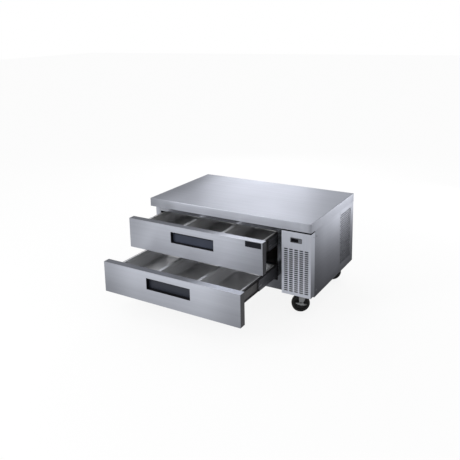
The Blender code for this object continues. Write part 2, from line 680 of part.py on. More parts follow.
# Condenser: a finned block behind the louvres, its fan shroud and its fan
COIL_SIDE_ROOM = 0.019
COIL_WIDTH = BAY_WIDTH - 2 * COIL_SIDE_ROOM
COIL_HEIGHT = 0.280
COIL_THICK = 0.040
COIL_BOTTOM_GAP = 0.012
COIL_FRONT_GAP = 0.020
COIL_END_PLATE = 0.003
COIL_END_LAP = 0.004
COIL_BOTTOM = BASE_TOP + COIL_BOTTOM_GAP
COIL_FRONT = FRAME_BACK + COIL_FRONT_GAP
COIL_BACK = COIL_FRONT + COIL_THICK
BEND_RADIUS = 0.0035
BEND_REACH = 0.006
BEND_PITCH = 0.050


def coil_with_bends(name, low, high, plate, lap, finish_name, side):
    """A finned block between two end plates, with tube bends outside one of them."""
    core = box(low, high)
    plates = []
    for x in (low[0], high[0] - plate):
        plates.append(box(
            (x, low[1] - lap, low[2] - lap),
            (x + plate, high[1] + lap, high[2] + lap),
        ))
    bend_x = high[0] if side > 0 else low[0]
    middle_y = (low[1] + high[1]) / 2
    half_y = (high[1] - low[1]) / 4
    bends = []
    count = int((high[2] - low[2]) / BEND_PITCH)
    for k in range(count):
        z = low[2] + (k + 1) * (high[2] - low[2]) / (count + 1)
        start, reach = bend_x - side * plate / 2, bend_x + side * BEND_REACH
        corners = [(start, middle_y - half_y, z), (reach, middle_y - half_y, z),
                   (reach, middle_y + half_y, z), (start, middle_y + half_y, z)]
        bends.append(pipe(corners, BEND_RADIUS))
    piece(name, [core, *plates, *bends], finish_name)


def make_condenser_coil():
    """The condenser, standing on its end plates just above the base pan."""
    coil_with_bends(
        "condenser_coil",
        (BAY_MIDDLE - COIL_WIDTH / 2, COIL_FRONT, COIL_BOTTOM),
        (BAY_MIDDLE + COIL_WIDTH / 2, COIL_BACK, COIL_BOTTOM + COIL_HEIGHT),
        COIL_END_PLATE, COIL_END_LAP, "coil_aluminium", 1,
    )


SHROUD_GAP = 0.006
SHROUD_SHEET = 0.0012
SHROUD_RING_LENGTH = 0.026
FAN_TIP_GAP = 0.004
COLLAR_MARGIN = 0.004
FAN_RADIUS = COIL_WIDTH / 2 - COLLAR_MARGIN - FAN_TIP_GAP
FAN_Z = COIL_BOTTOM + COIL_HEIGHT / 2
SHROUD_Y = COIL_BACK + SHROUD_GAP
ARM_WIDTH = 0.010
ARM_THICK = 0.003
ARM_REACH = 0.046
MOTOR_RADIUS = 0.030
MOTOR_LENGTH = 0.050
SHAFT_RADIUS = 0.004
SHAFT_LENGTH = 0.024
HUB_RADIUS = 0.020
HUB_LENGTH = 0.018
BLADE_COUNT = 5
BLADE_THICK = 0.0015
BLADE_CHORD = 0.040
BLADE_PITCH_ANGLE = math.radians(28)


def make_fan_shroud():
    """The plate and collar round the fan, with the bracket that holds the motor."""
    middle = (BAY_MIDDLE, SHROUD_Y, FAN_Z)
    plate = box(
        (BAY_MIDDLE - COIL_WIDTH / 2, SHROUD_Y, COIL_BOTTOM),
        (BAY_MIDDLE + COIL_WIDTH / 2, SHROUD_Y + SHROUD_SHEET, COIL_BOTTOM + COIL_HEIGHT),
    )
    collar_radius = FAN_RADIUS + FAN_TIP_GAP
    collar = cylinder(middle, (0, 1, 0), SHROUD_RING_LENGTH, collar_radius + SHROUD_SHEET, 24)
    bore_start = (BAY_MIDDLE, SHROUD_Y - OVERRUN, FAN_Z)
    bore = cylinder(bore_start, (0, 1, 0), SHROUD_RING_LENGTH + 2 * OVERRUN, collar_radius, 24)
    boolean(plate, collar, "UNION")
    boolean(plate, bore, "DIFFERENCE")
    arm_y = SHROUD_Y + ARM_REACH
    arms = []
    start_y = SHROUD_Y + SHROUD_SHEET / 2
    for side in (-1, 1):
        x = BAY_MIDDLE + side * (COIL_WIDTH / 2 - 2 * ARM_THICK)
        low_x, high_x = sorted((x, x + side * ARM_THICK))
        arms.append(box((low_x, start_y, FAN_Z - ARM_WIDTH / 2), (high_x, arm_y, FAN_Z + ARM_WIDTH / 2)))
    reach = COIL_WIDTH / 2 - ARM_THICK - ARM_THICK / 2
    half_bar = ARM_WIDTH / 2 - SHEET
    bar = box(
        (BAY_MIDDLE - reach, arm_y - ARM_THICK, FAN_Z - half_bar),
        (BAY_MIDDLE + reach, arm_y - SHEET / 2, FAN_Z + half_bar),
    )
    plate_ring = cylinder((BAY_MIDDLE, arm_y - SHEET, FAN_Z), (0, -1, 0), ARM_THICK, MOTOR_RADIUS)
    shaft_hole = cylinder((BAY_MIDDLE, arm_y - OVERRUN, FAN_Z), (0, 1, 0), 2 * OVERRUN, 2 * SHAFT_RADIUS)
    piece("fan_shroud", [plate, *arms, bar, plate_ring], "zinc_steel", [shaft_hole])


def make_fan_motor():
    """The condenser fan's motor behind the bracket, its shaft reaching forward to the fan."""
    face = SHROUD_Y + ARM_REACH + FIT_GAP / 2
    can = turned(
        (BAY_MIDDLE, face, FAN_Z), (0, 1, 0),
        [(0, 0), (MOTOR_RADIUS, 0), (MOTOR_RADIUS, MOTOR_LENGTH - SHAFT_RADIUS),
         (MOTOR_RADIUS - SHAFT_RADIUS, MOTOR_LENGTH), (0, MOTOR_LENGTH)],
    )
    shaft_length = ARM_THICK + SHAFT_LENGTH + 2 * SHAFT_RADIUS
    shaft = cylinder((BAY_MIDDLE, face + SHAFT_RADIUS, FAN_Z), (0, -1, 0), shaft_length, SHAFT_RADIUS)
    piece("condenser_fan_motor", [can, shaft], "black_enamel")


def fan_blades(name, place, facing, radius, hub_radius, hub_length, bore_radius, chord, finish_name):
    """A bladed fan whose hub starts at place and runs along facing, with a bore for its shaft."""
    hub = cylinder((0, 0, 0), (0, 0, 1), hub_length, hub_radius)
    blades = []
    for k in range(BLADE_COUNT):
        turn = Matrix.Rotation(2 * math.pi * k / BLADE_COUNT, 4, "Z")
        pitch = Matrix.Rotation(BLADE_PITCH_ANGLE, 4, "X")
        lift = Matrix.Translation((0, 0, hub_length / 2))
        inner, outer = hub_radius / 2, radius
        root_half, tip_half, half = chord / 4, chord / 2, BLADE_THICK / 2
        shoulder = outer * 0.8
        outline = [
            (inner, -root_half, -half), (shoulder, -tip_half, -half), (outer, -tip_half / 2, -half),
            (outer, tip_half / 2, -half), (shoulder, tip_half, -half), (inner, root_half, -half),
        ]
        blade = extruded(outline, (0, 0, BLADE_THICK))
        blade.data.transform(turn @ lift @ pitch)
        blades.append(blade)
    bore = cylinder((0, 0, -OVERRUN), (0, 0, 1), hub_length + 2 * OVERRUN, bore_radius)
    fan = piece(name, [hub, *blades], finish_name, [bore])
    fan.location = place
    fan.rotation_mode = "QUATERNION"
    fan.rotation_quaternion = Vector((0, 0, 1)).rotation_difference(Vector(facing))
    return fan


FAN_HUB_GAP = 0.004
SHAFT_CLEARANCE = 0.0005


def make_condenser_fan():
    """The condenser's fan in the middle of the shroud's collar."""
    place = (BAY_MIDDLE, SHROUD_Y + ARM_REACH - ARM_THICK - SHEET - FAN_HUB_GAP, FAN_Z)
    fan_blades("condenser_fan_blade", place, (0, -1, 0), FAN_RADIUS, HUB_RADIUS, HUB_LENGTH,
               SHAFT_RADIUS + SHAFT_CLEARANCE, BLADE_CHORD, "black_plastic")


# Compressor: a welded shell on a foot plate with rubber grommets
COMPRESSOR_RADIUS = 0.068
COMPRESSOR_HEIGHT = 0.152
COMPRESSOR_DOME = 0.028
COMPRESSOR_FROM_BACK = 0.250
FOOT_LENGTH = 0.190
FOOT_WIDTH = 0.150
FOOT_THICK = 0.004
GROMMET_RADIUS = 0.011
GROMMET_HEIGHT = 0.014
GROMMET_INSET = 0.015
TERMINAL_WIDTH = 0.050
TERMINAL_DEPTH = 0.030
TERMINAL_HEIGHT = 0.060
COMPRESSOR_Y = BACK_FACE - COMPRESSOR_FROM_BACK
COMPRESSOR_BOTTOM = BASE_TOP + FIT_GAP + GROMMET_HEIGHT
COMPRESSOR_TOP = COMPRESSOR_BOTTOM + COMPRESSOR_HEIGHT
STUB_RADIUS = 0.005
STUB_LENGTH = 0.018
STUB_OFFSET = 0.030


def make_compressor():
    """The hermetic compressor, standing in the machine bay."""
    middle = (BAY_MIDDLE, COMPRESSOR_Y, COMPRESSOR_BOTTOM + FOOT_THICK / 2)
    r, h, dome = COMPRESSOR_RADIUS, COMPRESSOR_HEIGHT - FOOT_THICK / 2, COMPRESSOR_DOME
    shell = turned(middle, (0, 0, 1), [
        (0, 0), (r * 0.6, 0), (r * 0.92, dome / 2), (r, dome), (r, h - dome),
        (r * 0.9, h - dome / 3), (r * 0.5, h), (0, h)], 20)
    foot = box(
        (BAY_MIDDLE - FOOT_WIDTH / 2, COMPRESSOR_Y - FOOT_LENGTH / 2, COMPRESSOR_BOTTOM),
        (BAY_MIDDLE + FOOT_WIDTH / 2, COMPRESSOR_Y + FOOT_LENGTH / 2, COMPRESSOR_BOTTOM + FOOT_THICK),
    )
    grommets = []
    for side_x in (-1, 1):
        for side_y in (-1, 1):
            place = (BAY_MIDDLE + side_x * (FOOT_WIDTH / 2 - GROMMET_INSET),
                     COMPRESSOR_Y + side_y * (FOOT_LENGTH / 2 - GROMMET_INSET),
                     COMPRESSOR_BOTTOM - GROMMET_HEIGHT)
            grommets.append(cylinder(place, (0, 0, 1), GROMMET_HEIGHT + FOOT_THICK / 2, GROMMET_RADIUS, 8))
    terminal_y = COMPRESSOR_Y - r - TERMINAL_DEPTH / 2
    terminal_z = COMPRESSOR_BOTTOM + dome
    terminal = box(
        (BAY_MIDDLE - TERMINAL_WIDTH / 2, terminal_y, terminal_z),
        (BAY_MIDDLE + TERMINAL_WIDTH / 2, terminal_y + TERMINAL_DEPTH, terminal_z + TERMINAL_HEIGHT),
    )
    stub_start = (BAY_MIDDLE - STUB_OFFSET, COMPRESSOR_Y, COMPRESSOR_TOP - dome)
    stub = cylinder(stub_start, (0, 0, 1), dome + STUB_LENGTH, STUB_RADIUS, 8)
    piece("compressor", [shell, foot, *grommets, terminal, stub], "black_enamel")


# Evaporator at the back of the cold compartment, behind a cover with a fan
EVAPORATOR_WIDTH = 0.440
EVAPORATOR_HEIGHT = 0.210
EVAPORATOR_THICK = 0.030
EVAPORATOR_BACK_GAP = 0.006
EVAPORATOR_RISE = 0.040
EVAPORATOR_LOW = OPENING_BOTTOM + EVAPORATOR_RISE
COVER_MARGIN = 0.030
COVER_SHEET = 0.0015
COVER_LEFT = OPENING_RIGHT - COVER_MARGIN - EVAPORATOR_WIDTH - 2 * COVER_MARGIN
EVAPORATOR_LEFT = COVER_LEFT + COVER_MARGIN
EVAPORATOR_BACK = LINER_BACK - SHEET - EVAPORATOR_BACK_GAP
COVER_BACK = LINER_BACK - SHEET - FIT_GAP
COVER_FACE = COVER_BACK - COVER_DEPTH
COVER_RIGHT = EVAPORATOR_LEFT + EVAPORATOR_WIDTH + COVER_MARGIN
COVER_BOTTOM = EVAPORATOR_LOW - COVER_MARGIN / 2
COVER_TOP = EVAPORATOR_LOW + EVAPORATOR_HEIGHT + COVER_MARGIN / 2
COLD_FAN_RADIUS = 0.058
COLD_HUB_RADIUS = 0.014
COLD_HUB_LENGTH = 0.014
COLD_MOTOR_RADIUS = 0.018
COLD_MOTOR_LENGTH = 0.014
COLD_CHORD = 0.028
COLD_FAN_X = (COVER_LEFT + COVER_RIGHT) / 2
COLD_FAN_Z = (COVER_BOTTOM + COVER_TOP) / 2
COLD_ARM = 0.006
COLD_FAN_SINK = 0.006


def make_evaporator():
    """The evaporator coil, its cover with the fan's motor on a spider, and the fan."""
    low = (EVAPORATOR_LEFT, EVAPORATOR_BACK - EVAPORATOR_THICK, EVAPORATOR_LOW)
    high = (EVAPORATOR_LEFT + EVAPORATOR_WIDTH, EVAPORATOR_BACK, EVAPORATOR_LOW + EVAPORATOR_HEIGHT)
    coil_with_bends("evaporator_coil", low, high, COIL_END_PLATE, COIL_END_LAP, "coil_aluminium", 1)

    outer = box((COVER_LEFT, COVER_FACE, COVER_BOTTOM), (COVER_RIGHT, COVER_BACK, COVER_TOP))
    inner = box(
        (COVER_LEFT + COVER_SHEET, COVER_FACE + COVER_SHEET, COVER_BOTTOM - OVERRUN),
        (COVER_RIGHT - COVER_SHEET, COVER_BACK + OVERRUN, COVER_TOP - COVER_SHEET),
    )
    boolean(outer, inner, "DIFFERENCE")
    collar_radius = COLD_FAN_RADIUS + FAN_TIP_GAP
    hole_start = (COLD_FAN_X, COVER_FACE - OVERRUN, COLD_FAN_Z)
    hole = cylinder(hole_start, (0, 1, 0), 2 * OVERRUN, collar_radius, 24)
    boolean(outer, hole, "DIFFERENCE")
    arm_y = COVER_FACE + COLD_FAN_SINK + COLD_HUB_LENGTH + FAN_HUB_GAP
    reach = collar_radius + COLD_MOTOR_RADIUS
    foot, inner_reach, bracket_back = COVER_FACE + COVER_SHEET / 2, reach - COLD_ARM, arm_y + COLD_ARM
    bracket = extruded([
        (COLD_FAN_X + x, y, COLD_FAN_Z - COLD_ARM) for x, y in (
            (-reach, foot), (-inner_reach, foot), (-inner_reach, arm_y), (inner_reach, arm_y),
            (inner_reach, foot), (reach, foot), (reach, bracket_back), (-reach, bracket_back))
    ], (0, 0, 2 * COLD_ARM))
    motor = cylinder((COLD_FAN_X, arm_y, COLD_FAN_Z), (0, 1, 0), COLD_MOTOR_LENGTH, COLD_MOTOR_RADIUS)
    shaft_length = COLD_HUB_LENGTH + FAN_HUB_GAP + COLD_ARM
    shaft = cylinder((COLD_FAN_X, arm_y + COLD_ARM, COLD_FAN_Z), (0, -1, 0), shaft_length, SHAFT_RADIUS)
    way_start = (COVER_RIGHT - OVERRUN, LINE_HOLE_Y, LINE_HOLE_HEIGHT)
    way = cylinder(way_start, (1, 0, 0), 2 * OVERRUN, LINE_HOLE_RADIUS)
    piece("evaporator_cover", [outer, bracket, motor, shaft], "liner_steel", [way])

    place = (COLD_FAN_X, arm_y - FAN_HUB_GAP, COLD_FAN_Z)
    fan_blades("evaporator_fan", place, (0, -1, 0), COLD_FAN_RADIUS, COLD_HUB_RADIUS, COLD_HUB_LENGTH,
               SHAFT_RADIUS + SHAFT_CLEARANCE, COLD_CHORD, "black_plastic")


# Refrigerant lines: the suction line, with the capillary and its drier soldered to it
LINE_BEND = 0.020
DRIER_RADIUS = 0.010
DRIER_LENGTH = 0.090


def make_refrigerant_lines():
    """The run from the evaporator through the bay wall and down to the compressor."""
    inside = EVAPORATOR_LEFT + EVAPORATOR_WIDTH + BEND_REACH + BEND_RADIUS + FIT_GAP
    stub_x = BAY_MIDDLE - STUB_OFFSET
    corners = [
        (inside, LINE_HOLE_Y, LINE_HOLE_HEIGHT),
        (stub_x, LINE_HOLE_Y, LINE_HOLE_HEIGHT),
        (stub_x, COMPRESSOR_Y, LINE_HOLE_HEIGHT),
        (stub_x, COMPRESSOR_Y, COMPRESSOR_TOP + STUB_LENGTH + FIT_GAP),
    ]
    line = pipe(rounded_route(corners, LINE_BEND), LINE_RADIUS)
    middle_y = (LINE_HOLE_Y + COMPRESSOR_Y) / 2
    r = DRIER_RADIUS
    drier = turned(
        (stub_x, middle_y - DRIER_LENGTH / 2, LINE_HOLE_HEIGHT + LINE_RADIUS), (0, 1, 0),
        [(0, 0), (r / 2, 0), (r, r), (r, DRIER_LENGTH - r), (r / 2, DRIER_LENGTH), (0, DRIER_LENGTH)], 12)
    piece("refrigerant_lines", [line, drier], "copper")


GLAND_FLANGE_RADIUS = 0.016
GLAND_RADIUS = 0.0105
GLAND_BORE = 0.0045
GLAND_FLANGE = 0.004
GLAND_NOSE = 0.013
GLAND_INSIDE = 0.014


def make_cord_gland():
    """The strain relief of the mains lead in the back panel; its bore is open right through."""
    r, bore = GLAND_RADIUS, GLAND_BORE
    gland = turned((GLAND_X, BACK_FACE - GLAND_INSIDE, GLAND_HEIGHT), (0, 1, 0), [
        (bore, 0), (r, 0),
        (r, GLAND_INSIDE + SHEET + FIT_GAP), (GLAND_FLANGE_RADIUS, GLAND_INSIDE + SHEET + FIT_GAP),
        (GLAND_FLANGE_RADIUS, GLAND_INSIDE + SHEET + GLAND_FLANGE), (r, GLAND_INSIDE + SHEET + GLAND_FLANGE),
        (r * 0.7, GLAND_INSIDE + SHEET + GLAND_NOSE), (bore, GLAND_INSIDE + SHEET + GLAND_NOSE)])
    piece("cord_gland", [gland], "black_plastic")


# Telescopic slides: three nested channels, the outer one on the liner, the inner one on the drawer
CHANNEL_SHEET = 0.0012
CHANNEL_CLEARANCE = 0.0006
SLIDE_FRONT_INSET = 0.003
SLIDE_BACK_INSET = 0.002
SLIDE_LENGTH = DRAWER_DEPTH - SLIDE_BACK_INSET


def channel(wall_x, sign, web_start, depth, half_height, middle_z, front, length):
    """A channel bar along Y: its web starts web_start from the wall, its flanges go on to depth."""
    t = CHANNEL_SHEET
    x0, x1, x2 = (wall_x + sign * v for v in (web_start, web_start + t, depth))
    outline = [
        (x0, front, middle_z - half_height), (x2, front, middle_z - half_height),
        (x2, front, middle_z - half_height + t), (x1, front, middle_z - half_height + t),
        (x1, front, middle_z + half_height - t), (x2, front, middle_z + half_height - t),
        (x2, front, middle_z + half_height), (x0, front, middle_z + half_height),
    ]
    return extruded(outline, (0, length, 0))


def slide_walls():
    """The two sides of the cold compartment: name, wall plane, direction towards the drawer."""
    return (("left", OPENING_LEFT + FIT_GAP, 1), ("right", OPENING_RIGHT - FIT_GAP, -1))


def nested_half_height(depth_in):
    """Half the height of the outer (0), middle (1) or inner (2) channel."""
    return SLIDE_HEIGHT / 2 - depth_in * (CHANNEL_SHEET + CHANNEL_CLEARANCE)


def make_slides(drawer, front_top, middle_carriage, middle_closed):
    """The cabinet's outer channels and the middle channels of one drawer."""
    middle_z = front_top - SLIDE_DROP - SLIDE_HEIGHT / 2
    front = FRAME_BACK + SLIDE_FRONT_INSET
    flange_end = SLIDE_THICK - CHANNEL_SHEET - CHANNEL_CLEARANCE
    middle_start = CHANNEL_SHEET + CHANNEL_CLEARANCE
    run = (middle_z, front, SLIDE_LENGTH)
    held = {"parent": middle_carriage, "built_at": middle_closed}
    for side, wall_x, sign in slide_walls():
        outer = channel(wall_x, sign, 0, flange_end, nested_half_height(0), *run)
        piece(f"{drawer}_slide_outer_{side}", [outer], "slide_steel")
        middle = channel(wall_x, sign, middle_start, flange_end, nested_half_height(1), *run)
        piece(f"{drawer}_slide_middle_{side}", [middle], "slide_steel", **held)


# Drawer front: a steel pan, its foam core with an inner skin, a recessed pull and a gasket
FRONT_SHEET = 0.001
HANDLE_WIDTH = 0.355
HANDLE_HEIGHT = 0.0805
HANDLE_DROP = 0.046
HANDLE_DEPTH = 0.030
HANDLE_WALL = 0.0025
HANDLE_SINK = 0.0006
FINGER_ROOM = 0.013
FINGER_LIP = 0.006
GASKET_INSET = 0.010
GASKET_WIDTH = 0.018
GASKET_START = FRONT + FRONT_THICK + FIT_GAP
GASKET_END = FRAME_FACE - GASKET_SQUEEZE


def handle_space(front_top, grow, face_y):
    """The two boxes that the pull fills: the mouth in the face and the taller part behind it."""
    top = front_top - HANDLE_DROP
    bottom = top - HANDLE_HEIGHT
    half = HANDLE_WIDTH / 2 - FIT_GAP + grow
    skin = FRONT + FRONT_SHEET + FIT_GAP
    back = FRONT + HANDLE_DEPTH + grow
    mouth = (
        (FRONT_MIDDLE - half, face_y, bottom + FIT_GAP - grow),
        (FRONT_MIDDLE + half, back, top - FIT_GAP + grow),
    )
    behind = (
        (FRONT_MIDDLE - half, skin - grow, bottom + FIT_GAP - grow),
        (FRONT_MIDDLE + half, back, top + FINGER_ROOM + grow),
    )
    return mouth, behind


def make_front(drawer, front_top, carriage, closed):
    """One drawer's front shell, core, pull and gasket, in the closed position."""
    bottom = front_top - FRONT_HEIGHT
    back = FRONT + FRONT_THICK
    held = {"parent": carriage, "built_at": closed}
    shell = rounded_box((FRONT_LEFT, FRONT, bottom), (FRONT_RIGHT, back, front_top), FRONT_SHEET, "z")
    hollow = box(
        (FRONT_LEFT + FRONT_SHEET, FRONT + FRONT_SHEET, bottom + FRONT_SHEET),
        (FRONT_RIGHT - FRONT_SHEET, back + OVERRUN, front_top - FRONT_SHEET),
    )
    window = box(
        (FRONT_MIDDLE - HANDLE_WIDTH / 2, FRONT - OVERRUN, front_top - HANDLE_DROP - HANDLE_HEIGHT),
        (FRONT_MIDDLE + HANDLE_WIDTH / 2, FRONT + OVERRUN, front_top - HANDLE_DROP),
    )
    piece(f"{drawer}_drawer_front", [shell], "brushed_steel", [hollow, window], **held)

    inset = FRONT_SHEET + FIT_GAP
    core = box(
        (FRONT_LEFT + inset, FRONT + inset, bottom + inset),
        (FRONT_RIGHT - inset, back, front_top - inset),
    )
    mouth, behind = handle_space(front_top, FIT_GAP, FRONT - OVERRUN)
    piece(f"{drawer}_front_core", [core], "rigid_foam", [box(*mouth), box(*behind)], **held)

    mouth, behind = handle_space(front_top, 0, FRONT + HANDLE_SINK)
    wall = HANDLE_WALL
    well = box(
        (mouth[0][0] + wall, FRONT - OVERRUN, mouth[0][2] + wall),
        (mouth[1][0] - wall, mouth[1][1] - wall, mouth[1][2] - wall),
    )
    finger_room = box(
        (behind[0][0] + wall, FRONT + FINGER_LIP, mouth[0][2] + wall),
        (behind[1][0] - wall, behind[1][1] - wall, behind[1][2] - wall),
    )
    piece(f"{drawer}_handle", [box(*mouth), box(*behind)], "black_plastic", [well, finger_room], **held)

    outer = box(
        (FRONT_LEFT + GASKET_INSET, GASKET_START, bottom + GASKET_INSET),
        (FRONT_RIGHT - GASKET_INSET, GASKET_END, front_top - GASKET_INSET),
    )
    lap = GASKET_INSET + GASKET_WIDTH
    inner = box(
        (FRONT_LEFT + lap, GASKET_START - OVERRUN, bottom + lap),
        (FRONT_RIGHT - lap, GASKET_END + OVERRUN, front_top - lap),
    )
    piece(f"{drawer}_gasket", [outer], "gasket_vinyl", [inner], **held)


# Drawer frame: a deck with three pan openings, walls below it and the slides' inner channels
PAN_BODY_GAP = 0.002
PAN_TAPER = 0.010
PAN_CORNER = 0.045
DECK_OVERHANG = 0.007
BACK_WALL_HEIGHT = 0.050
STIFFENER_HEIGHT = 0.025


def pan_middle_x(number):
    """The middle of one pan across the drawer."""
    return OPENING_MIDDLE + (number - (PAN_COUNT - 1) / 2) * PAN_PITCH


def make_drawer_frame(drawer, front_top, carriage, closed):
    """The welded frame that hangs the pans and rides on the slides."""
    deck_top = front_top - RIM_DROP
    under = deck_top - FRAME_WALL
    slide_middle = front_top - SLIDE_DROP - SLIDE_HEIGHT / 2
    wall_bottom = slide_middle - SLIDE_HEIGHT / 2
    left, right = OPENING_MIDDLE - DRAWER_HALF, OPENING_MIDDLE + DRAWER_HALF
    deck = box((left - DECK_OVERHANG, DRAWER_FRONT, under), (right + DECK_OVERHANG, DRAWER_BACK, deck_top))
    side_walls = []
    for x in (left, right - FRAME_WALL):
        side_walls.append(box((x, DRAWER_FRONT, wall_bottom), (x + FRAME_WALL, DRAWER_BACK, deck_top)))
    front_wall = box((left, DRAWER_FRONT, wall_bottom), (right, DRAWER_FRONT + FRAME_WALL, deck_top))
    back_low = (left, DRAWER_BACK - FRAME_WALL, deck_top - BACK_WALL_HEIGHT)
    back_wall = box(back_low, (right, DRAWER_BACK, deck_top))
    stiffeners = []
    for number in range(PAN_COUNT - 1):
        x = (pan_middle_x(number) + pan_middle_x(number + 1)) / 2
        stiffeners.append(box(
            (x - FRAME_WALL / 2, DRAWER_FRONT, deck_top - STIFFENER_HEIGHT),
            (x + FRAME_WALL / 2, DRAWER_BACK, deck_top),
        ))
    channels = []
    web_start = 2 * (CHANNEL_SHEET + CHANNEL_CLEARANCE)
    for side, wall_x, sign in slide_walls():
        drawer_x = wall_x + sign * (SLIDE_THICK + FRAME_WALL / 2)
        depth = SLIDE_THICK + FRAME_WALL / 2 - web_start
        run = (slide_middle, DRAWER_FRONT + FIT_GAP, SLIDE_LENGTH)
        channels.append(channel(drawer_x, -sign, 0, depth, nested_half_height(2), *run))
    openings = []
    half_x = PAN_WIDTH / 2 - PAN_RIM + PAN_BODY_GAP
    half_y = PAN_LENGTH / 2 - PAN_RIM + PAN_BODY_GAP
    for number in range(PAN_COUNT):
        x = pan_middle_x(number)
        low = (x - half_x, PAN_MIDDLE_Y - half_y, under - OVERRUN)
        high = (x + half_x, PAN_MIDDLE_Y + half_y, deck_top + OVERRUN)
        openings.append((low, high))
    shapes = [deck, *side_walls, front_wall, back_wall, *stiffeners, *channels]
    held = {"parent": carriage, "built_at": closed}
    piece(f"{drawer}_drawer_frame", shapes, "slide_steel", [boxes(*openings)], **held)


def make_pans(drawer, front_top, carriage, closed):
    """Three full-size pans, hanging by their rims in the drawer's deck."""
    rim_bottom = front_top - RIM_DROP + FIT_GAP
    rim_top = rim_bottom + PAN_SHEET
    bottom = rim_top - PAN_DEPTH
    t = PAN_SHEET
    for number in range(PAN_COUNT):
        x = pan_middle_x(number)

        def ring(inset, height, corner):
            half_x, half_y = PAN_WIDTH / 2 - inset, PAN_LENGTH / 2 - inset
            return rounded_ring(x, PAN_MIDDLE_Y, half_x, half_y, corner, height)

        rim_corner = PAN_CORNER + PAN_RIM / 2
        shape = lofted([
            ring(PAN_RIM + PAN_TAPER, bottom, PAN_CORNER - PAN_TAPER),
            ring(PAN_RIM, rim_bottom, PAN_CORNER),
            ring(0, rim_bottom, rim_corner / 3),
            ring(0, rim_top, rim_corner / 3),
            ring(PAN_RIM + t, rim_top, PAN_CORNER - t),
            ring(PAN_RIM + PAN_TAPER + t, bottom + t, PAN_CORNER - PAN_TAPER - t),
        ])
        place = ("left", "middle", "right")[number]
        piece(f"{drawer}_pan_{place}", [shape], "pan_steel", parent=carriage, built_at=closed)


def make_drawer(drawer, front_top, open_by):
    """One whole drawer: an empty for the drawer and one for its middle slide channels."""
    slide_middle = front_top - SLIDE_DROP - SLIDE_HEIGHT / 2
    closed = Vector((OPENING_MIDDLE, FRONT, slide_middle))
    carriage = empty(f"{drawer}_drawer", closed - Vector((0, open_by, 0)))
    middle_carriage = empty(f"{drawer}_slides", closed - Vector((0, open_by / 2, 0)))
    make_front(drawer, front_top, carriage, closed)
    make_drawer_frame(drawer, front_top, carriage, closed)
    make_pans(drawer, front_top, carriage, closed)
    make_slides(drawer, front_top, middle_carriage, closed)


# Casters: a bolted top plate, a swivelling fork with its axle, a wheel, and a brake at the front
PLATE_CORNER = 0.008
BOLT_RADIUS = 0.006
BOLT_HEAD = 0.005
BOLT_INSET = 0.012
RACE_RADIUS = 0.026
CROWN_STEP = 0.0006
CROWN_RADIUS = 0.030
FORK_INSIDE = WHEEL_WIDTH / 2 + WHEEL_SIDE_ROOM
FORK_SHEET = 0.0035
LEG_TOP_HALF = 0.030
LEG_TOP_SHIFT = 0.021
LEG_LOW_HALF = 0.0125
AXLE_RADIUS = 0.006
AXLE_HEAD_RADIUS = 0.010
AXLE_HEAD = 0.005
AXLE_CLEARANCE = 0.0006
HUB_OUTER = 0.018
RIM_RADIUS = 0.046
WEB_HALF = 0.006
TREAD_ROUND = 0.005
WHEEL_SIDES = 28
CASTER_TURN = math.radians(32)


def caster_places():
    """The casters' names and the places of their swivel axes."""
    low_x = SIDE_LEFT + SIDE_RETURN + PLATE_LEFT_MARGIN + PLATE_LENGTH / 2
    high_x = SIDE_RIGHT - SIDE_RETURN - PLATE_RIGHT_MARGIN - PLATE_LENGTH / 2
    front = FRAME_BACK + PLATE_FRONT_MARGIN + PLATE_WIDTH / 2
    rear = BACK_FACE - PLATE_BACK_MARGIN - PLATE_WIDTH / 2
    return (("front_left", low_x, front), ("front_right", high_x, front),
            ("rear_left", low_x, rear), ("rear_right", high_x, rear))


def make_caster_plate(name, x, y):
    """The fixed plate with its bolts and the upper bearing race."""
    plate = rounded_box(
        (x - PLATE_LENGTH / 2, y - PLATE_WIDTH / 2, PLATE_TOP - PLATE_THICK),
        (x + PLATE_LENGTH / 2, y + PLATE_WIDTH / 2, PLATE_TOP), PLATE_CORNER)
    inside = PLATE_TOP - PLATE_THICK / 2
    race = cylinder((x, y, inside), (0, 0, -1), RACE_HEIGHT + PLATE_THICK / 2, RACE_RADIUS)
    bolts = []
    reach_x, reach_y = PLATE_LENGTH / 2 - BOLT_INSET, PLATE_WIDTH / 2 - BOLT_INSET
    for side_x in (-1, 1):
        for side_y in (-1, 1):
            place = (x + side_x * reach_x, y + side_y * reach_y, inside)
            bolts.append(cylinder(place, (0, 0, -1), PLATE_THICK / 2 + BOLT_HEAD, BOLT_RADIUS, 6))
    piece(f"caster_plate_{name}", [plate, race, *bolts], "zinc_steel", origin=(x, y, PLATE_TOP))


LEG_OUTSIDE = FORK_INSIDE + FORK_SHEET
LEVER_THICK = 0.003
LEVER_GAP = 0.0005
BOSS_STEP = 0.0003
BOSS_RADIUS = 0.010
LEVER_REACH = 0.038
LEVER_HALF_HEIGHT = 0.0085
LEVER_PAD_LENGTH = 0.020
LEVER_PAD_DEPTH = 0.012
LEVER_TILT = math.radians(12)
LEVER_ROOM = LEVER_THICK + 2 * LEVER_GAP


def fork_leg(side):
    """One tapering leg of the fork, in the fork's own space with the trail along -X."""
    low, high = sorted((side * FORK_INSIDE, side * LEG_OUTSIDE))
    crown_low = CROWN_TOP - CROWN_THICK
    steps = 4
    left, right = -LEG_TOP_SHIFT - LEG_TOP_HALF, -LEG_TOP_SHIFT + LEG_TOP_HALF
    inside = CROWN_TOP - CROWN_THICK / 2
    outline = [(right, low, inside), (left, low, inside), (left, low, crown_low)]
    for k in range(steps + 1):
        angle = math.pi + math.pi * k / steps
        x = -CASTER_TRAIL + LEG_LOW_HALF * math.cos(angle)
        outline.append((x, low, WHEEL_RADIUS + LEG_LOW_HALF * math.sin(angle)))
    outline.append((right, low, crown_low))
    return extruded(outline, (0, high - low, 0))


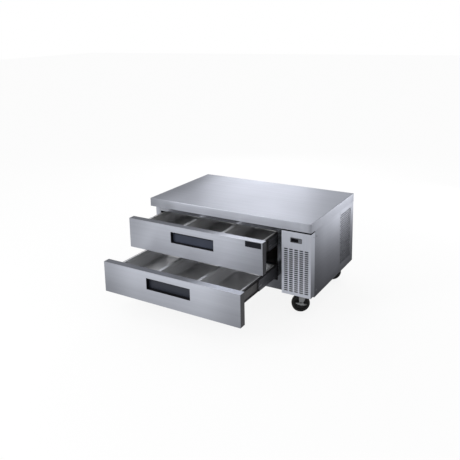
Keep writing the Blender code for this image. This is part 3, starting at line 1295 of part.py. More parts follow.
def make_fork(name, swivel, lever_room):
    """The swivelling fork: crown, two legs, and the axle with its head, nut and room for a lever."""
    crown = cylinder((0, 0, CROWN_TOP), (0, 0, -1), CROWN_THICK + CROWN_STEP, CROWN_RADIUS)
    half, outside = LEG_TOP_HALF + CROWN_STEP, LEG_OUTSIDE + CROWN_STEP
    bridge = box(
        (-LEG_TOP_SHIFT - half, -outside, CROWN_TOP - CROWN_THICK),
        (-LEG_TOP_SHIFT + half, outside, CROWN_TOP - CROWN_STEP),
    )
    near = -LEG_OUTSIDE - lever_room
    start = near - AXLE_HEAD / 2
    length = LEG_OUTSIDE + AXLE_HEAD / 2 - start
    axle = cylinder((-CASTER_TRAIL, start, WHEEL_RADIUS), (0, 1, 0), length, AXLE_RADIUS, 12)
    head_start = near if lever_room else near + FORK_SHEET / 2
    head_length = head_start - near + AXLE_HEAD
    head = cylinder((-CASTER_TRAIL, head_start, WHEEL_RADIUS), (0, -1, 0), head_length, AXLE_HEAD_RADIUS, 6)
    nut_start = LEG_OUTSIDE - FORK_SHEET / 2
    nut_length = AXLE_HEAD + FORK_SHEET / 2
    nut = cylinder((-CASTER_TRAIL, nut_start, WHEEL_RADIUS), (0, 1, 0), nut_length, AXLE_HEAD_RADIUS, 6)
    shapes = [bridge, crown, fork_leg(-1), fork_leg(1), axle, head, nut]
    piece(f"caster_fork_{name}", shapes, "zinc_steel", parent=swivel)


def make_wheel(name, swivel):
    """The wheel on its axle, one flat facet of its tread on the floor."""
    bore = AXLE_RADIUS + AXLE_CLEARANCE
    half, hub_half = WHEEL_WIDTH / 2, FORK_INSIDE - AXLE_CLEARANCE
    tread = WHEEL_RADIUS / math.cos(math.pi / WHEEL_SIDES)
    profile = [
        (bore, -hub_half), (HUB_OUTER, -hub_half), (HUB_OUTER, -WEB_HALF), (RIM_RADIUS, -WEB_HALF),
        (RIM_RADIUS, -half), (tread - TREAD_ROUND, -half), (tread, -half + TREAD_ROUND),
        (tread, half - TREAD_ROUND), (tread - TREAD_ROUND, half), (RIM_RADIUS, half),
        (RIM_RADIUS, WEB_HALF), (HUB_OUTER, WEB_HALF), (HUB_OUTER, hub_half), (bore, hub_half),
    ]
    wheel = turned((0, 0, 0), (0, 1, 0), profile, WHEEL_SIDES, math.pi / WHEEL_SIDES)
    wheel = piece(f"caster_wheel_{name}", [wheel], "tread_rubber", parent=swivel)
    wheel.location = (-CASTER_TRAIL, 0, WHEEL_RADIUS)


def make_brake(name, swivel):
    """The brake's lever on the axle, outside the near leg, tilted as it stands when locked."""
    boss_back = -LEG_OUTSIDE - LEVER_GAP
    back = boss_back - BOSS_STEP
    thick = LEVER_THICK - 2 * BOSS_STEP
    front = back - thick
    reach, half = LEVER_REACH, LEVER_HALF_HEIGHT
    outline = [
        (-reach, back, half), (-reach, back, 0), (-reach / 2, back, -half), (reach / 2, back, -half),
        (reach, back, 0), (reach, back, half),
    ]
    bar = extruded(outline, (0, -thick, 0))
    pads = []
    for low_x in (-reach, reach - LEVER_PAD_LENGTH):
        low = (low_x, front - LEVER_PAD_DEPTH, half - LEVER_THICK)
        pads.append(box(low, (low_x + LEVER_PAD_LENGTH, front + thick / 2, half - BOSS_STEP)))
    boss = cylinder((0, boss_back, 0), (0, -1, 0), LEVER_THICK, BOSS_RADIUS, 12)
    bore_length = 2 * OVERRUN + LEVER_THICK
    bore = cylinder((0, back + OVERRUN, 0), (0, -1, 0), bore_length, AXLE_RADIUS + AXLE_CLEARANCE, 12)
    lever = piece(f"caster_brake_{name}", [bar, boss, *pads], "zinc_steel", [bore], parent=swivel)
    lever.data.transform(Matrix.Rotation(LEVER_TILT, 4, "Y"))
    lever.location = (-CASTER_TRAIL, 0, WHEEL_RADIUS)


def make_casters():
    """Four casters, those at the front with a brake."""
    for name, x, y in caster_places():
        braked = name.startswith("front")
        make_caster_plate(name, x, y)
        swivel = empty(f"caster_{name}", (x, y, 0), CASTER_TURN)
        make_fork(name, swivel, LEVER_ROOM if braked else 0)
        make_wheel(name, swivel)
        if braked:
            make_brake(name, swivel)


make_worktop()
make_insulation()
make_liner()
make_front_frame()
make_side_panels()
make_back_panel()
make_base_pan()
make_grille_panel()
make_controller()
make_condenser_coil()
make_fan_shroud()
make_fan_motor()
make_condenser_fan()
make_compressor()
make_evaporator()
make_refrigerant_lines()
make_cord_gland()
make_drawer("upper", UPPER_TOP, UPPER_OPEN)
make_drawer("lower", LOWER_TOP, LOWER_OPEN)
make_casters()
print("objects", len([o for o in bpy.data.objects if o.type == "MESH"]))
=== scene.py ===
# %% [markdown]
# # A refrigerated chef base
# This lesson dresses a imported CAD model, the frame, until it looks like the real cabinet: a low
# stainless steel refrigerator with two wide drawers, a louvred machine bay at its right, and four
# casters. The frame is loaded first, because every piece is placed by it.

# %% Load the frame
import json
import math

import bmesh
import bpy
from mathutils import Matrix, Vector


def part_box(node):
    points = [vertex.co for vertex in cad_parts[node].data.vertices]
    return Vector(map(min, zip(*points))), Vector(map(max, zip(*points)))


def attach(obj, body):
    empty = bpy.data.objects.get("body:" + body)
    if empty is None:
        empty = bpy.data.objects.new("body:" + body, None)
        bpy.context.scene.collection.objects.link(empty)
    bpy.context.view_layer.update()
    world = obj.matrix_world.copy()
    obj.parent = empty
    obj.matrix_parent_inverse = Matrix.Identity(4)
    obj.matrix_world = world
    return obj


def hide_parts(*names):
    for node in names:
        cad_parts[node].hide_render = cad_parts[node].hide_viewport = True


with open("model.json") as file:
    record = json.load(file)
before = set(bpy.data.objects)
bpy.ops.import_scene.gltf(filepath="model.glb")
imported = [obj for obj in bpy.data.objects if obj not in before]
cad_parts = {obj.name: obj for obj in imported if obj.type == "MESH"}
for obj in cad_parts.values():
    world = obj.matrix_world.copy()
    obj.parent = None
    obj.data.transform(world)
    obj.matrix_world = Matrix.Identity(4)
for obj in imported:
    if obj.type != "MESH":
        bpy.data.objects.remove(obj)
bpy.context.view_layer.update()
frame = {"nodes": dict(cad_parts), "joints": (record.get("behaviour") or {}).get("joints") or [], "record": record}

# %% [markdown]
# ## The camera
# The picture is taken from the right and a little above, by a lens that looks level across the
# worktop. The cabinet sits low in the frame, so the lens is shifted and not tilted further, and
# its upright edges stay upright as they do in a shift lens.

# %% The camera
PICTURE_WIDTH = 460
FOCAL_PIXELS = 597
CENTRE_PIXEL = (217.5, 150.5)
SENSOR = 36
AZIMUTH = math.radians(32.07)
ELEVATION = math.radians(12.09)
ROLL = math.radians(-1.40)
DISTANCE = 4.471
AIM = Vector((0, 0.0705, 0.38))
SLIDE_RIGHT, SLIDE_UP = -0.1446, 0.6825

back = Vector((math.sin(AZIMUTH) * math.cos(ELEVATION), -math.cos(AZIMUTH) * math.cos(ELEVATION),
               math.sin(ELEVATION)))
level_right = Vector((math.cos(AZIMUTH), math.sin(AZIMUTH), 0))
level_up = back.cross(level_right)
right = level_right * math.cos(ROLL) + level_up * math.sin(ROLL)
up = level_up * math.cos(ROLL) - level_right * math.sin(ROLL)
camera = bpy.data.objects.new("camera", bpy.data.cameras.new("camera"))
bpy.context.collection.objects.link(camera)
camera.matrix_world = Matrix.Translation(
    AIM + back * DISTANCE + level_right * SLIDE_RIGHT + level_up * SLIDE_UP
) @ Matrix((right, up, back)).transposed().to_4x4()
camera.data.sensor_width = SENSOR
camera.data.lens = SENSOR * FOCAL_PIXELS / PICTURE_WIDTH
camera.data.shift_x = 0.5 - CENTRE_PIXEL[0] / PICTURE_WIDTH
camera.data.shift_y = CENTRE_PIXEL[1] / PICTURE_WIDTH - 0.5
bpy.context.scene.camera = camera
print("lens", round(camera.data.lens, 2), "shift", round(camera.data.shift_x, 4),
      round(camera.data.shift_y, 4))

# %% [markdown]
# ## Materials
# Every finish is made of nodes. Small helpers add a node, set its sockets and link it, so that each
# finish below reads as a short list: where the pattern is taken, how it is stretched, and which of
# the shader's sockets it reaches. Numbers that are the same all over the surface are set on the
# shader itself.

# %% A start for every finish
EVEN = (1, 1, 1)


def finish_material(name, colour, roughness, metallic=0.0):
    """A new node material with its plain numbers on the shader."""
    material = bpy.data.materials.new(name)
    material.use_nodes = True
    shader = material.node_tree.nodes["Principled BSDF"]
    shader.inputs["Base Color"].default_value = (*colour, 1)
    shader.inputs["Roughness"].default_value = roughness
    shader.inputs["Metallic"].default_value = metallic
    return material, material.node_tree, shader


def add_node(tree, kind, numbers=None, links=None):
    """A new node whose input sockets take the given numbers and links."""
    node = tree.nodes.new("ShaderNode" + kind)
    for socket, number in (numbers or {}).items():
        node.inputs[socket].default_value = number
    for socket, source in (links or {}).items():
        tree.links.new(source, node.inputs[socket])
    return node


def own_place(tree):
    """The place on the object, in the object's own metres."""
    return add_node(tree, "TexCoord").outputs["Object"]


def noise(tree, stretch, scale, detail=3.0):
    """Noise in the object's own metres, stretched by a scale for each axis."""
    mapping = add_node(tree, "Mapping", {"Scale": stretch}, {"Vector": own_place(tree)})
    pattern = add_node(tree, "TexNoise", {"Scale": scale, "Detail": detail},
                       {"Vector": mapping.outputs["Vector"]})
    return pattern.outputs["Fac"]


def ranged(tree, value, low, high, start=0.3, end=0.7):
    """A pattern's value moved into the range from low to high."""
    limits = {"From Min": start, "From Max": end, "To Min": low, "To Max": high}
    return add_node(tree, "MapRange", limits, {"Value": value}).outputs["Result"]


def toned(tree, value, dark, light):
    """A pattern's value as a colour between two tones."""
    ramp = add_node(tree, "ValToRGB", links={"Fac": value})
    for element, tone, position in zip(ramp.color_ramp.elements, (dark, light), (0.3, 0.7)):
        element.color = (*tone, 1)
        element.position = position
    return ramp.outputs["Color"]


def multiplied(tree, colour, shares):
    """A colour times a pattern of shares."""
    mix = add_node(tree, "Mix", {"Factor": 1})
    mix.data_type = "RGBA"
    mix.blend_type = "MULTIPLY"
    colours = [socket for socket in mix.inputs if socket.type == "RGBA"]
    tree.links.new(colour, colours[0])
    tree.links.new(shares, colours[1])
    return next(socket for socket in mix.outputs if socket.type == "RGBA")


def painted_light_along(tree, colour, axis, stops, between_stops="EASE"):
    """Painted light and shade: a colour deepened by shares at places along one of the object's own axes."""
    along = add_node(tree, "SeparateXYZ", links={"Vector": own_place(tree)}).outputs[axis]
    first, last = stops[0][0], stops[-1][0]
    ramp = add_node(tree, "ValToRGB", links={"Fac": ranged(tree, along, 0, 1, first, last)})
    ramp.color_ramp.interpolation = between_stops
    for element, (_, share) in zip(ramp.color_ramp.elements, (stops[0], stops[-1])):
        element.color = (share, share, share, 1)
    for spot, share in stops[1:-1]:
        between = ramp.color_ramp.elements.new((spot - first) / (last - first))
        between.color = (share, share, share, 1)
    return multiplied(tree, colour, ramp.outputs["Color"])


def bumped(tree, shader, value, strength, distance):
    """A pattern's value as the height of a fine relief."""
    bump = add_node(tree, "Bump", {"Strength": strength, "Distance": distance}, {"Height": value})
    tree.links.new(bump.outputs["Normal"], shader.inputs["Normal"])


print("helpers for finishes ready")

# %% [markdown]
# ### Brushed stainless steel
# A satin stainless sheet is ground along its length with a belt, which leaves fine scratches of
# slightly different roughness. Very long, thin noise gives those. A second, broad noise moves the
# tone a little, as a rolled sheet does. Scratches spread a reflection across the grain and hardly
# along it, so the shader is anisotropic and its tangent points across the grain. The grain runs
# along X on the worktop and the fronts, along Y on the side panels and upright on the louvred
# panel, so the function takes the stretch of the noise and the direction of the spread. The tone
# may also be painted lighter or darker along an axis: these gradients are painted reflections and
# painted shade, the bright bands and dark parts that the room's reflections and shadows would give.

# %% Brushed steel
ALONG_X = {"stretch": (5, 420, 420), "spread": (0, 0.4, 1)}
ALONG_Y = {"stretch": (420, 5, 420), "spread": (1, 0, 1)}
ALONG_Z = {"stretch": (420, 420, 5), "spread": (1, 1, 0)}
STEEL_EDGE_TINT = (0.5, 0.5, 0.52, 1)
COOL, WARM = (0.98, 1.02, 1.14), (1.03, 1.0, 0.97)
BROAD_SCALE = 2.2
STREAKS_WIDER, STREAK_SHARES = 6, (0.94, 1.0)
GRAIN_RELIEF = (0.10, 0.0004)


def brushed_steel(name, direction, levels, painted_light=(), roughness=(0.34, 0.44), metallic=0.85,
                  anisotropy=0.8, tint=COOL):
    """Satin stainless with its belt grain along one axis, between two levels of tone."""
    dark, light = [tuple(level * share for share in tint) for level in levels]
    material, tree, shader = finish_material(name, light, roughness[0], metallic)
    shader.inputs["Specular Tint"].default_value = STEEL_EDGE_TINT
    shader.inputs["Anisotropic"].default_value = anisotropy
    across = add_node(tree, "CombineXYZ", dict(zip("XYZ", direction["spread"])))
    tree.links.new(across.outputs["Vector"], shader.inputs["Tangent"])
    stretch = direction["stretch"]
    grain = noise(tree, stretch, 1.0, 2.0)
    tone = toned(tree, noise(tree, EVEN, BROAD_SCALE, 1.0), dark, light)
    streaks = noise(tree, tuple(axis_scale / STREAKS_WIDER for axis_scale in stretch), 1.0, 1.0)
    tone = multiplied(tree, tone, ranged(tree, streaks, *STREAK_SHARES))
    for painted_gradient in painted_light:
        tone = painted_light_along(tree, tone, *painted_gradient)
    tree.links.new(tone, shader.inputs["Base Color"])
    tree.links.new(ranged(tree, grain, *roughness), shader.inputs["Roughness"])
    bumped(tree, shader, grain, *GRAIN_RELIEF)
    return material


TOP_ANISOTROPY = 0.72
# Painted reflection: the worktop is painted darker at its left end and brighter towards the right, where a bright
# band would be mirrored, and a little darker again at its right edge.
TOP_PAINTED_REFLECTION = [("X", ((-0.665, 0.61), (-0.42, 0.87), (-0.1, 0.92), (0.25, 0.94), (0.6, 1.0),
                    (0.655, 1.0), (0.6645, 0.84)))]
top_steel = brushed_steel("worktop_steel", ALONG_X, (0.409, 0.454), TOP_PAINTED_REFLECTION,
                          anisotropy=TOP_ANISOTROPY)
# Painted highlight: the front edge is painted dark at its left end, bright through the middle and dark again
# towards its right end.
EDGE_PAINTED_HIGHLIGHT = [("X", ((-0.665, 0.41), (-0.53, 0.52), (-0.40, 0.93), (-0.1, 0.95), (0.25, 0.97),
                     (0.52, 0.96), (0.59, 0.80), (0.63, 0.70), (0.6645, 0.45)))]
edge_steel = brushed_steel("worktop_edge_steel", ALONG_X, (0.545, 0.605), EDGE_PAINTED_HIGHLIGHT,
                           anisotropy=TOP_ANISOTROPY)
# Painted reflection: the worktop's ends are painted darker at the front and at the back, and brightest a little
# behind the middle.
END_PAINTED_REFLECTION = [("Y", ((-0.1295, 0.60), (-0.03, 0.76), (0.05, 0.86), (0.18, 0.95), (0.38, 1.0),
                    (0.55, 0.93), (0.69, 0.79)))]
end_steel = brushed_steel("worktop_end_steel", ALONG_X, (0.409, 0.454), END_PAINTED_REFLECTION,
                          anisotropy=TOP_ANISOTROPY)

# Painted reflection and shade: both fronts are painted darker towards their ends, and the lower front darker
# towards its bottom; each drawer gets its own copy of the steel for it.
FRONT_X_PAINTED_REFLECTION = ("X", ((-0.6565, 0.70), (-0.36, 1.0), (0.15, 1.0), (0.4425, 0.68)))
FRONT_Z_PAINTED_LIGHT = {"upper": (1.0, 0.93), "lower": (0.70, 0.93)}
front_steel = {}
for drawer, (bottom_share, top_share) in FRONT_Z_PAINTED_LIGHT.items():
    front_low, front_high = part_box(f"{drawer}_drawer_front")
    painted_light = [FRONT_X_PAINTED_REFLECTION, ("Z", ((front_low[2], bottom_share), (front_high[2], top_share)))]
    front_steel[drawer] = brushed_steel(f"{drawer}_front_steel", ALONG_X, (0.455, 0.505), painted_light)
# Painted reflection: the fronts' top faces are painted dark over their left part and bright at the right.
ledge_steel = brushed_steel("ledge_steel", ALONG_X, (0.50, 0.55),
                            [("X", ((-0.6565, 0.32), (-0.02, 0.34), (0.22, 1.0)))])

# Painted reflection: the side panel is painted much darker towards the bottom, as a mirrored dark floor would make
# it, and darker at its front and back.
SIDE_PAINTED_REFLECTION = [("Z", ((0.14, 0.10), (0.25, 0.21), (0.35, 0.34), (0.45, 0.58), (0.55, 0.88),
                     (0.62, 1.0)), "LINEAR"),
              ("Y", ((-0.06, 0.60), (0.15, 0.86), (0.36, 1.0), (0.46, 0.96), (0.69, 0.66)))]
side_steel = brushed_steel("side_steel", ALONG_Y, (0.455, 0.51), SIDE_PAINTED_REFLECTION)
# Painted shade: the louvred panel is painted a little darker towards the bottom and towards the right, and its
# side returns much darker towards the bottom.
GRILLE_PAINTED_SHADE = [("Z", ((0.15, 0.94), (0.60, 1.0))),
                ("X", ((0.43, 1.0), (0.47, 0.91), (0.54, 0.86), (0.66, 0.74)))]
grille_steel = brushed_steel("grille_steel", ALONG_Z, (0.69, 0.75), GRILLE_PAINTED_SHADE, (0.50, 0.60),
                             metallic=0.45)
return_steel = brushed_steel("return_steel", ALONG_Z, (0.50, 0.55),
                             [("Z", ((0.15, 0.25), (0.60, 1.0)))])
# Painted shade: the front frame is painted darker towards the sill under the drawers and much darker at its right
# stile beside the machine bay.
FRAME_PAINTED_SHADE = [("Z", ((0.14, 0.55), (0.50, 1.0))),
               ("X", ((-0.655, 1.0), (-0.62, 0.78), (0.25, 0.75), (0.385, 0.34)))]
frame_steel = brushed_steel("frame_steel", ALONG_X, (0.36, 0.42), FRAME_PAINTED_SHADE, (0.22, 0.28),
                            anisotropy=0.3)
liner_steel = brushed_steel("liner_steel", ALONG_X, (0.24, 0.30), tint=WARM)
print("steels", [m.name for m in bpy.data.materials if "steel" in m.name])

# %% [markdown]
# ### Pressed and polished pans, coated slides, zinc
# The pans are deep drawn and polished, so their grain is weak and runs no one way. The slides
# and the drawer frames have a dark coating with a little orange peel. The casters' metal is zinc
# plated and greys with use, and the cabinet's hidden sheets are galvanised. Both show faint
# crystals, small ones on the plate and wide ones on the sheet.

# %% Pans, slides, zinc
PEEL_SCALE, PATCH_SCALE, PEEL_STRENGTH = 260.0, 9.0, 0.15


def pan_finish():
    """Polished stainless with faint drawing marks."""
    material, tree, shader = finish_material("pan_steel", (0.70, 0.705, 0.72), 0.4, 0.75)
    marks = noise(tree, (1, 1, 12), 14.0)
    tone = toned(tree, marks, (0.60, 0.605, 0.62), (0.65, 0.655, 0.67))
    tree.links.new(ranged(tree, marks, 0.38, 0.44), shader.inputs["Roughness"])
    tree.links.new(tone, shader.inputs["Base Color"])
    bumped(tree, shader, marks, 0.005, 0.0002)
    return material


def coated_finish(name, dark, light, roughness, relief, gloss=0.5, painted_light=()):
    """A sprayed or moulded skin: fine orange peel, a little change of tone, and painted shade if given."""
    material, tree, shader = finish_material(name, light, roughness[0])
    shader.inputs["Specular IOR Level"].default_value = gloss
    peel = noise(tree, EVEN, PEEL_SCALE)
    tone = toned(tree, noise(tree, EVEN, PATCH_SCALE), dark, light)
    for painted_gradient in painted_light:
        tone = painted_light_along(tree, tone, *painted_gradient)
    tree.links.new(tone, shader.inputs["Base Color"])
    tree.links.new(ranged(tree, peel, *roughness), shader.inputs["Roughness"])
    bumped(tree, shader, peel, PEEL_STRENGTH, relief)
    return material


def zinc_finish(name, dark, light, crystals, metallic):
    """Zinc with its crystals, so many to the metre."""
    material, tree, shader = finish_material(name, light, 0.35, metallic)
    cells = add_node(tree, "TexVoronoi", {"Scale": crystals}, {"Vector": own_place(tree)})
    distance = cells.outputs["Distance"]
    tree.links.new(toned(tree, distance, dark, light), shader.inputs["Base Color"])
    tree.links.new(ranged(tree, distance, 0.34, 0.45, 0, 1), shader.inputs["Roughness"])
    return material


pan_steel = pan_finish()
slide_coat = coated_finish("slide_coat", (0.026, 0.026, 0.030), (0.044, 0.044, 0.050),
                           (0.32, 0.45), 0.0003, 0.35)
enamel = coated_finish("black_enamel", (0.012, 0.012, 0.014), (0.020, 0.020, 0.023),
                       (0.18, 0.30), 0.0004)
zinc = zinc_finish("zinc_plate", (0.16, 0.165, 0.17), (0.20, 0.205, 0.21), 160.0, 0.9)
galvanised = zinc_finish("galvanised_sheet", (0.40, 0.41, 0.42), (0.425, 0.435, 0.445), 45.0, 0.75)
print("metal finishes", len(bpy.data.materials))

# %% [markdown]
# ### Plastics, rubber, foam, coil
# Moulded plastic has a fine spark texture, tyre rubber is duller and dusty, and the door seal is
# a soft vinyl with a low sheen. The coils' bright fins are thin sheets a few millimetres apart.
# A wave pattern makes their edges as a relief, because hundreds of real fins would not be seen.

# %% Plastics, rubber, foam, coil
FINS_SCALE = 100.0

black_plastic = coated_finish("black_plastic", (0.003, 0.003, 0.004), (0.006, 0.006, 0.008),
                              (0.38, 0.52), 0.0002, 0.25)
grey_plastic = coated_finish("grey_plastic", (0.24, 0.25, 0.27), (0.30, 0.31, 0.33),
                             (0.42, 0.55), 0.0002)
gasket_vinyl = coated_finish("gasket_vinyl", (0.035, 0.036, 0.040), (0.055, 0.056, 0.062),
                             (0.45, 0.60), 0.0003)
tyre_rubber = coated_finish("tyre_rubber", (0.004, 0.004, 0.004), (0.009, 0.009, 0.009),
                            (0.50, 0.70), 0.0006, 0.25)
foam = coated_finish("rigid_foam", (0.70, 0.60, 0.36), (0.82, 0.73, 0.48), (0.85, 0.95), 0.0015)
copper = coated_finish("copper_pipe", (0.26, 0.13, 0.08), (0.40, 0.21, 0.13), (0.28, 0.42), 0.0002)
copper.node_tree.nodes["Principled BSDF"].inputs["Metallic"].default_value = 1.0
deck_coat = coated_finish("deck_coat", (0.026, 0.025, 0.026), (0.040, 0.038, 0.040),
                          (0.38, 0.50), 0.0003, 0.4)
# Painted reflection: the dark coat of the strips on the drawer fronts' ends.
dark_end_reflection_coat = coated_finish("dark_end_reflection_coat", (0.020, 0.020, 0.023), (0.030, 0.030, 0.034),
                           (0.45, 0.60), 0.0002, 0.3)
plate_skin = coated_finish("plate_skin", (0.005, 0.006, 0.009), (0.008, 0.009, 0.013),
                           (0.30, 0.40), 0.0001, 0.12)
bezel_plastic = coated_finish("bezel_plastic", (0.060, 0.064, 0.070), (0.085, 0.090, 0.098),
                              (0.40, 0.52), 0.0002)
key_plastic = coated_finish("key_plastic", (0.11, 0.12, 0.14), (0.14, 0.15, 0.17),
                            (0.42, 0.55), 0.0002)
filter_and_shade_black = coated_finish("filter_and_shade_black", (0.003, 0.003, 0.003), (0.006, 0.006, 0.006),
                             (0.80, 0.95), 0.0010, 0.04)


def fin_finish():
    """Bright coil fins, as fine ribs across the coil's width."""
    material, tree, shader = finish_material("coil_fins", (0.62, 0.63, 0.64), 0.35, 1.0)
    ribs = add_node(tree, "TexWave", {"Scale": FINS_SCALE}, {"Vector": own_place(tree)})
    ribs.bands_direction = "X"
    # Painted shade: the wave's dark bands stand for the shaded gaps between the fins.
    tone = toned(tree, ribs.outputs["Fac"], (0.16, 0.16, 0.17), (0.66, 0.67, 0.68))
    tree.links.new(tone, shader.inputs["Base Color"])
    bumped(tree, shader, ribs.outputs["Fac"], 0.6, 0.001)
    return material


def glass_finish():
    """The controller's window: smooth dark plastic with a clear skin."""
    material, tree, shader = finish_material("window_glass", (0.004, 0.004, 0.006), 0.08)
    tree.links.new(ranged(tree, noise(tree, EVEN, 60.0), 0.05, 0.14), shader.inputs["Roughness"])
    return material


coil_fins = fin_finish()
window_glass = glass_finish()
print("all finishes", len(bpy.data.materials))

# %% [markdown]
# ## Dressing the solids
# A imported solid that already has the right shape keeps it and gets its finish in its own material
# slot. The table below goes by a part of a node's name, and the first match counts. Nodes that get
# a finer piece later keep their solid for the simulation only.

# %% Finishes of the solids
FINISHES = {
    "worktop": top_steel, "side_panel": side_steel, "grille_panel": grille_steel,
    "upper_drawer_front": front_steel["upper"], "lower_drawer_front": front_steel["lower"],
    "front_frame": frame_steel, "_liner": liner_steel, "evaporator_cover": liner_steel,
    "back_panel": galvanised, "base_pan": galvanised, "insulation": foam, "front_core": foam,
    "_pan_": pan_steel, "slide_": slide_coat, "drawer_frame": slide_coat, "handle": black_plastic,
    "gasket": gasket_vinyl, "controller": grey_plastic, "key_": grey_plastic,
    "compressor": enamel, "fan_shroud": enamel, "fan_motor": enamel, "fan_blade": grey_plastic,
    "evaporator_fan": black_plastic, "_coil": coil_fins, "refrigerant_lines": copper,
    "cord_gland": black_plastic, "caster_wheel": tyre_rubber, "caster_": zinc,
}
for node_name, node in frame["nodes"].items():
    finish = next(finish for part, finish in FINISHES.items() if part in node_name)
    for slot in node.material_slots:
        slot.material = finish
print("dressed", len(frame["nodes"]), "nodes by", len(FINISHES), "rules")

# %% [markdown]
# ## Helpers for pieces
# A finer piece is a mesh of its own that rides on a body of the frame and stands for a imported
# node. Sheet metal is never sharp: a press leaves a small radius along each fold. A Bevel modifier
# rounds the edges between flat faces, and a Weighted Normal modifier keeps those faces looking flat
# up to the radius.

# %% Helpers for pieces
def add_piece(name, mesh_data, material, body, slot, *replaced):
    """Links a new piece that rides on a body, and stands for the named nodes."""
    bmesh.ops.recalc_face_normals(mesh_data, faces=mesh_data.faces)
    mesh = bpy.data.meshes.new(name)
    mesh_data.to_mesh(mesh)
    mesh_data.free()
    mesh.materials.append(material)
    piece = bpy.data.objects.new(name, mesh)
    bpy.context.collection.objects.link(piece)
    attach(piece, body)
    if replaced:
        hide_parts(*replaced)
    return piece


def rounded_edges(piece, radius, segments=2, angle=40):
    """Rounds the piece's edges and keeps its flat faces flat."""
    piece.data.shade_smooth()
    bevel = piece.modifiers.new("edges", "BEVEL")
    bevel.width = radius
    bevel.segments = segments
    bevel.limit_method = "ANGLE"
    bevel.angle_limit = math.radians(angle)
    bevel.use_clamp_overlap = True
    flat = piece.modifiers.new("flat faces", "WEIGHTED_NORMAL")
    flat.keep_sharp = True
    return piece


def body_of_node(node):
    """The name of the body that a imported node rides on."""
    bodies = frame["record"]["behaviour"]["bodies"]
    return next(body for body, nodes in bodies.items() if node in nodes)


print("worktop rides on", body_of_node("worktop"))

# %% [markdown]
# ### Rings and skins
# Many pieces are a stack of outlines: a pan, a plate with round corners, a turned wheel. A band of
# faces joins two neighbouring rings of points, and a skin joins a whole stack of rings and closes
# its ends. Faces made this way flow round the piece, so a Bevel can follow its edges.

# %% Rings and skins
def band(mesh_data, first, second):
    """Faces between two rings of vertices."""
    for k in range(len(first)):
        j = (k + 1) % len(first)
        mesh_data.faces.new((first[k], first[j], second[j], second[k]))


def skin(mesh_data, rings, end=True, start=True):
    """Faces between rings of points, and a face over each end unless told."""
    loops = [[mesh_data.verts.new(point) for point in ring] for ring in rings]
    for first, second in zip(loops, loops[1:]):
        band(mesh_data, first, second)
    if end:
        mesh_data.faces.new(loops[-1])
    if start:
        mesh_data.faces.new(loops[0][::-1])
    return loops


def skinned(rings, end=True, start=True):
    """A new mesh of a single skin."""
    mesh_data = bmesh.new()
    skin(mesh_data, rings, end, start)
    return mesh_data


print("band(), skin() and skinned() ready")

# %% [markdown]
# ### Softened solids
# Some solids are right but for their sharp edges. A copy of such a solid is cleaned of the
# triangles that packing leaves in flat faces, and gets rounded edges.

# %% Softened solids
FLAT_ANGLE = math.radians(1)
WELD = 0.00001


def softened(node, radius, material, slot, segments=2, name=None):
    """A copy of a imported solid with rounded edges, in the solid's place."""
    mesh_data = bmesh.new()
    mesh_data.from_mesh(frame["nodes"][node].data)
    bmesh.ops.remove_doubles(mesh_data, verts=mesh_data.verts, dist=WELD)
    bmesh.ops.dissolve_limit(mesh_data, angle_limit=FLAT_ANGLE, verts=mesh_data.verts,
                             edges=mesh_data.edges)
    piece = add_piece(name or f"{node}_soft", mesh_data, material, body_of_node(node), slot, node)
    return rounded_edges(piece, radius, segments)


print("softened() ready")

# %% [markdown]
# ### Folded trays
# The worktop and both drawer fronts are trays: a flat face with its four sides folded back. A box
# without its open side gives the shape, a Bevel rounds the folds, and a Solidify gives the sheet
# its thickness. A window for the pull is cut by moving the corners of an inset face.

# %% Folded trays
SHEET = 0.001
FACING = 0.9
FIRST_INSET = 0.01


def middle(box, axis):
    """The middle of a box along an axis."""
    return (box[0][axis] + box[1][axis]) / 2


def tray(low, high, open_axis, open_sign, window=None):
    """A box without one side, and with a window in its -Y face if asked."""
    mesh_data = bmesh.new()
    bmesh.ops.create_cube(mesh_data, size=1)
    for vertex in mesh_data.verts:
        vertex.co = [high[axis] if vertex.co[axis] > 0 else low[axis] for axis in range(3)]
    mesh_data.normal_update()
    open_faces = [face for face in mesh_data.faces if face.normal[open_axis] * open_sign > FACING]
    bmesh.ops.delete(mesh_data, geom=open_faces, context="FACES_ONLY")
    if window:
        front = next(face for face in mesh_data.faces if face.normal.y < -FACING)
        bmesh.ops.inset_individual(mesh_data, faces=[front], thickness=FIRST_INSET)
        for vertex in front.verts:
            vertex.co.x = window[vertex.co.x > middle((low, high), 0)][0]
            vertex.co.z = window[vertex.co.z > middle((low, high), 2)][1]
        bmesh.ops.delete(mesh_data, geom=[front], context="FACES_ONLY")
    return mesh_data


def thickened(piece, thickness, offset=0):
    """Gives a surface its sheet's thickness, to both sides, or inwards at -1."""
    sheet = piece.modifiers.new("sheet", "SOLIDIFY")
    sheet.thickness = thickness
    sheet.offset = offset
    return piece


def folded(piece, radius, thickness=SHEET, segments=3, angle=40):
    """Rounds a tray's folds and gives it the sheet's thickness, inwards."""
    rounded_edges(piece, radius, segments, angle)
    thickened(piece, thickness, -1)
    piece.modifiers.move(len(piece.modifiers) - 1, 1)
    return piece


print("tray() and folded() ready")

# %% [markdown]
# ## The worktop
# A thick tray turned over, with a return folded in round its underside. The return hides the foam,
# and it is painted black as painted shade, for the dark shadow line above the machine bay. The
# folds have a generous radius, so that a pan slides off the edge without catching. The front edge
# stands upright, and it and both ends catch the light in another way, so these have finishes of
# their own, whose tone is painted reflection. A few faces of a piece get such a finish by the way
# they face.

# %% The worktop
FOLD_RADIUS = 0.003
RETURN_WIDTH = 0.022


def painted(piece, material, wanted):
    """Gives some of a piece's faces a finish of their own."""
    piece.data.materials.append(material)
    for face in piece.data.polygons:
        if wanted(face):
            face.material_index = len(piece.data.materials) - 1


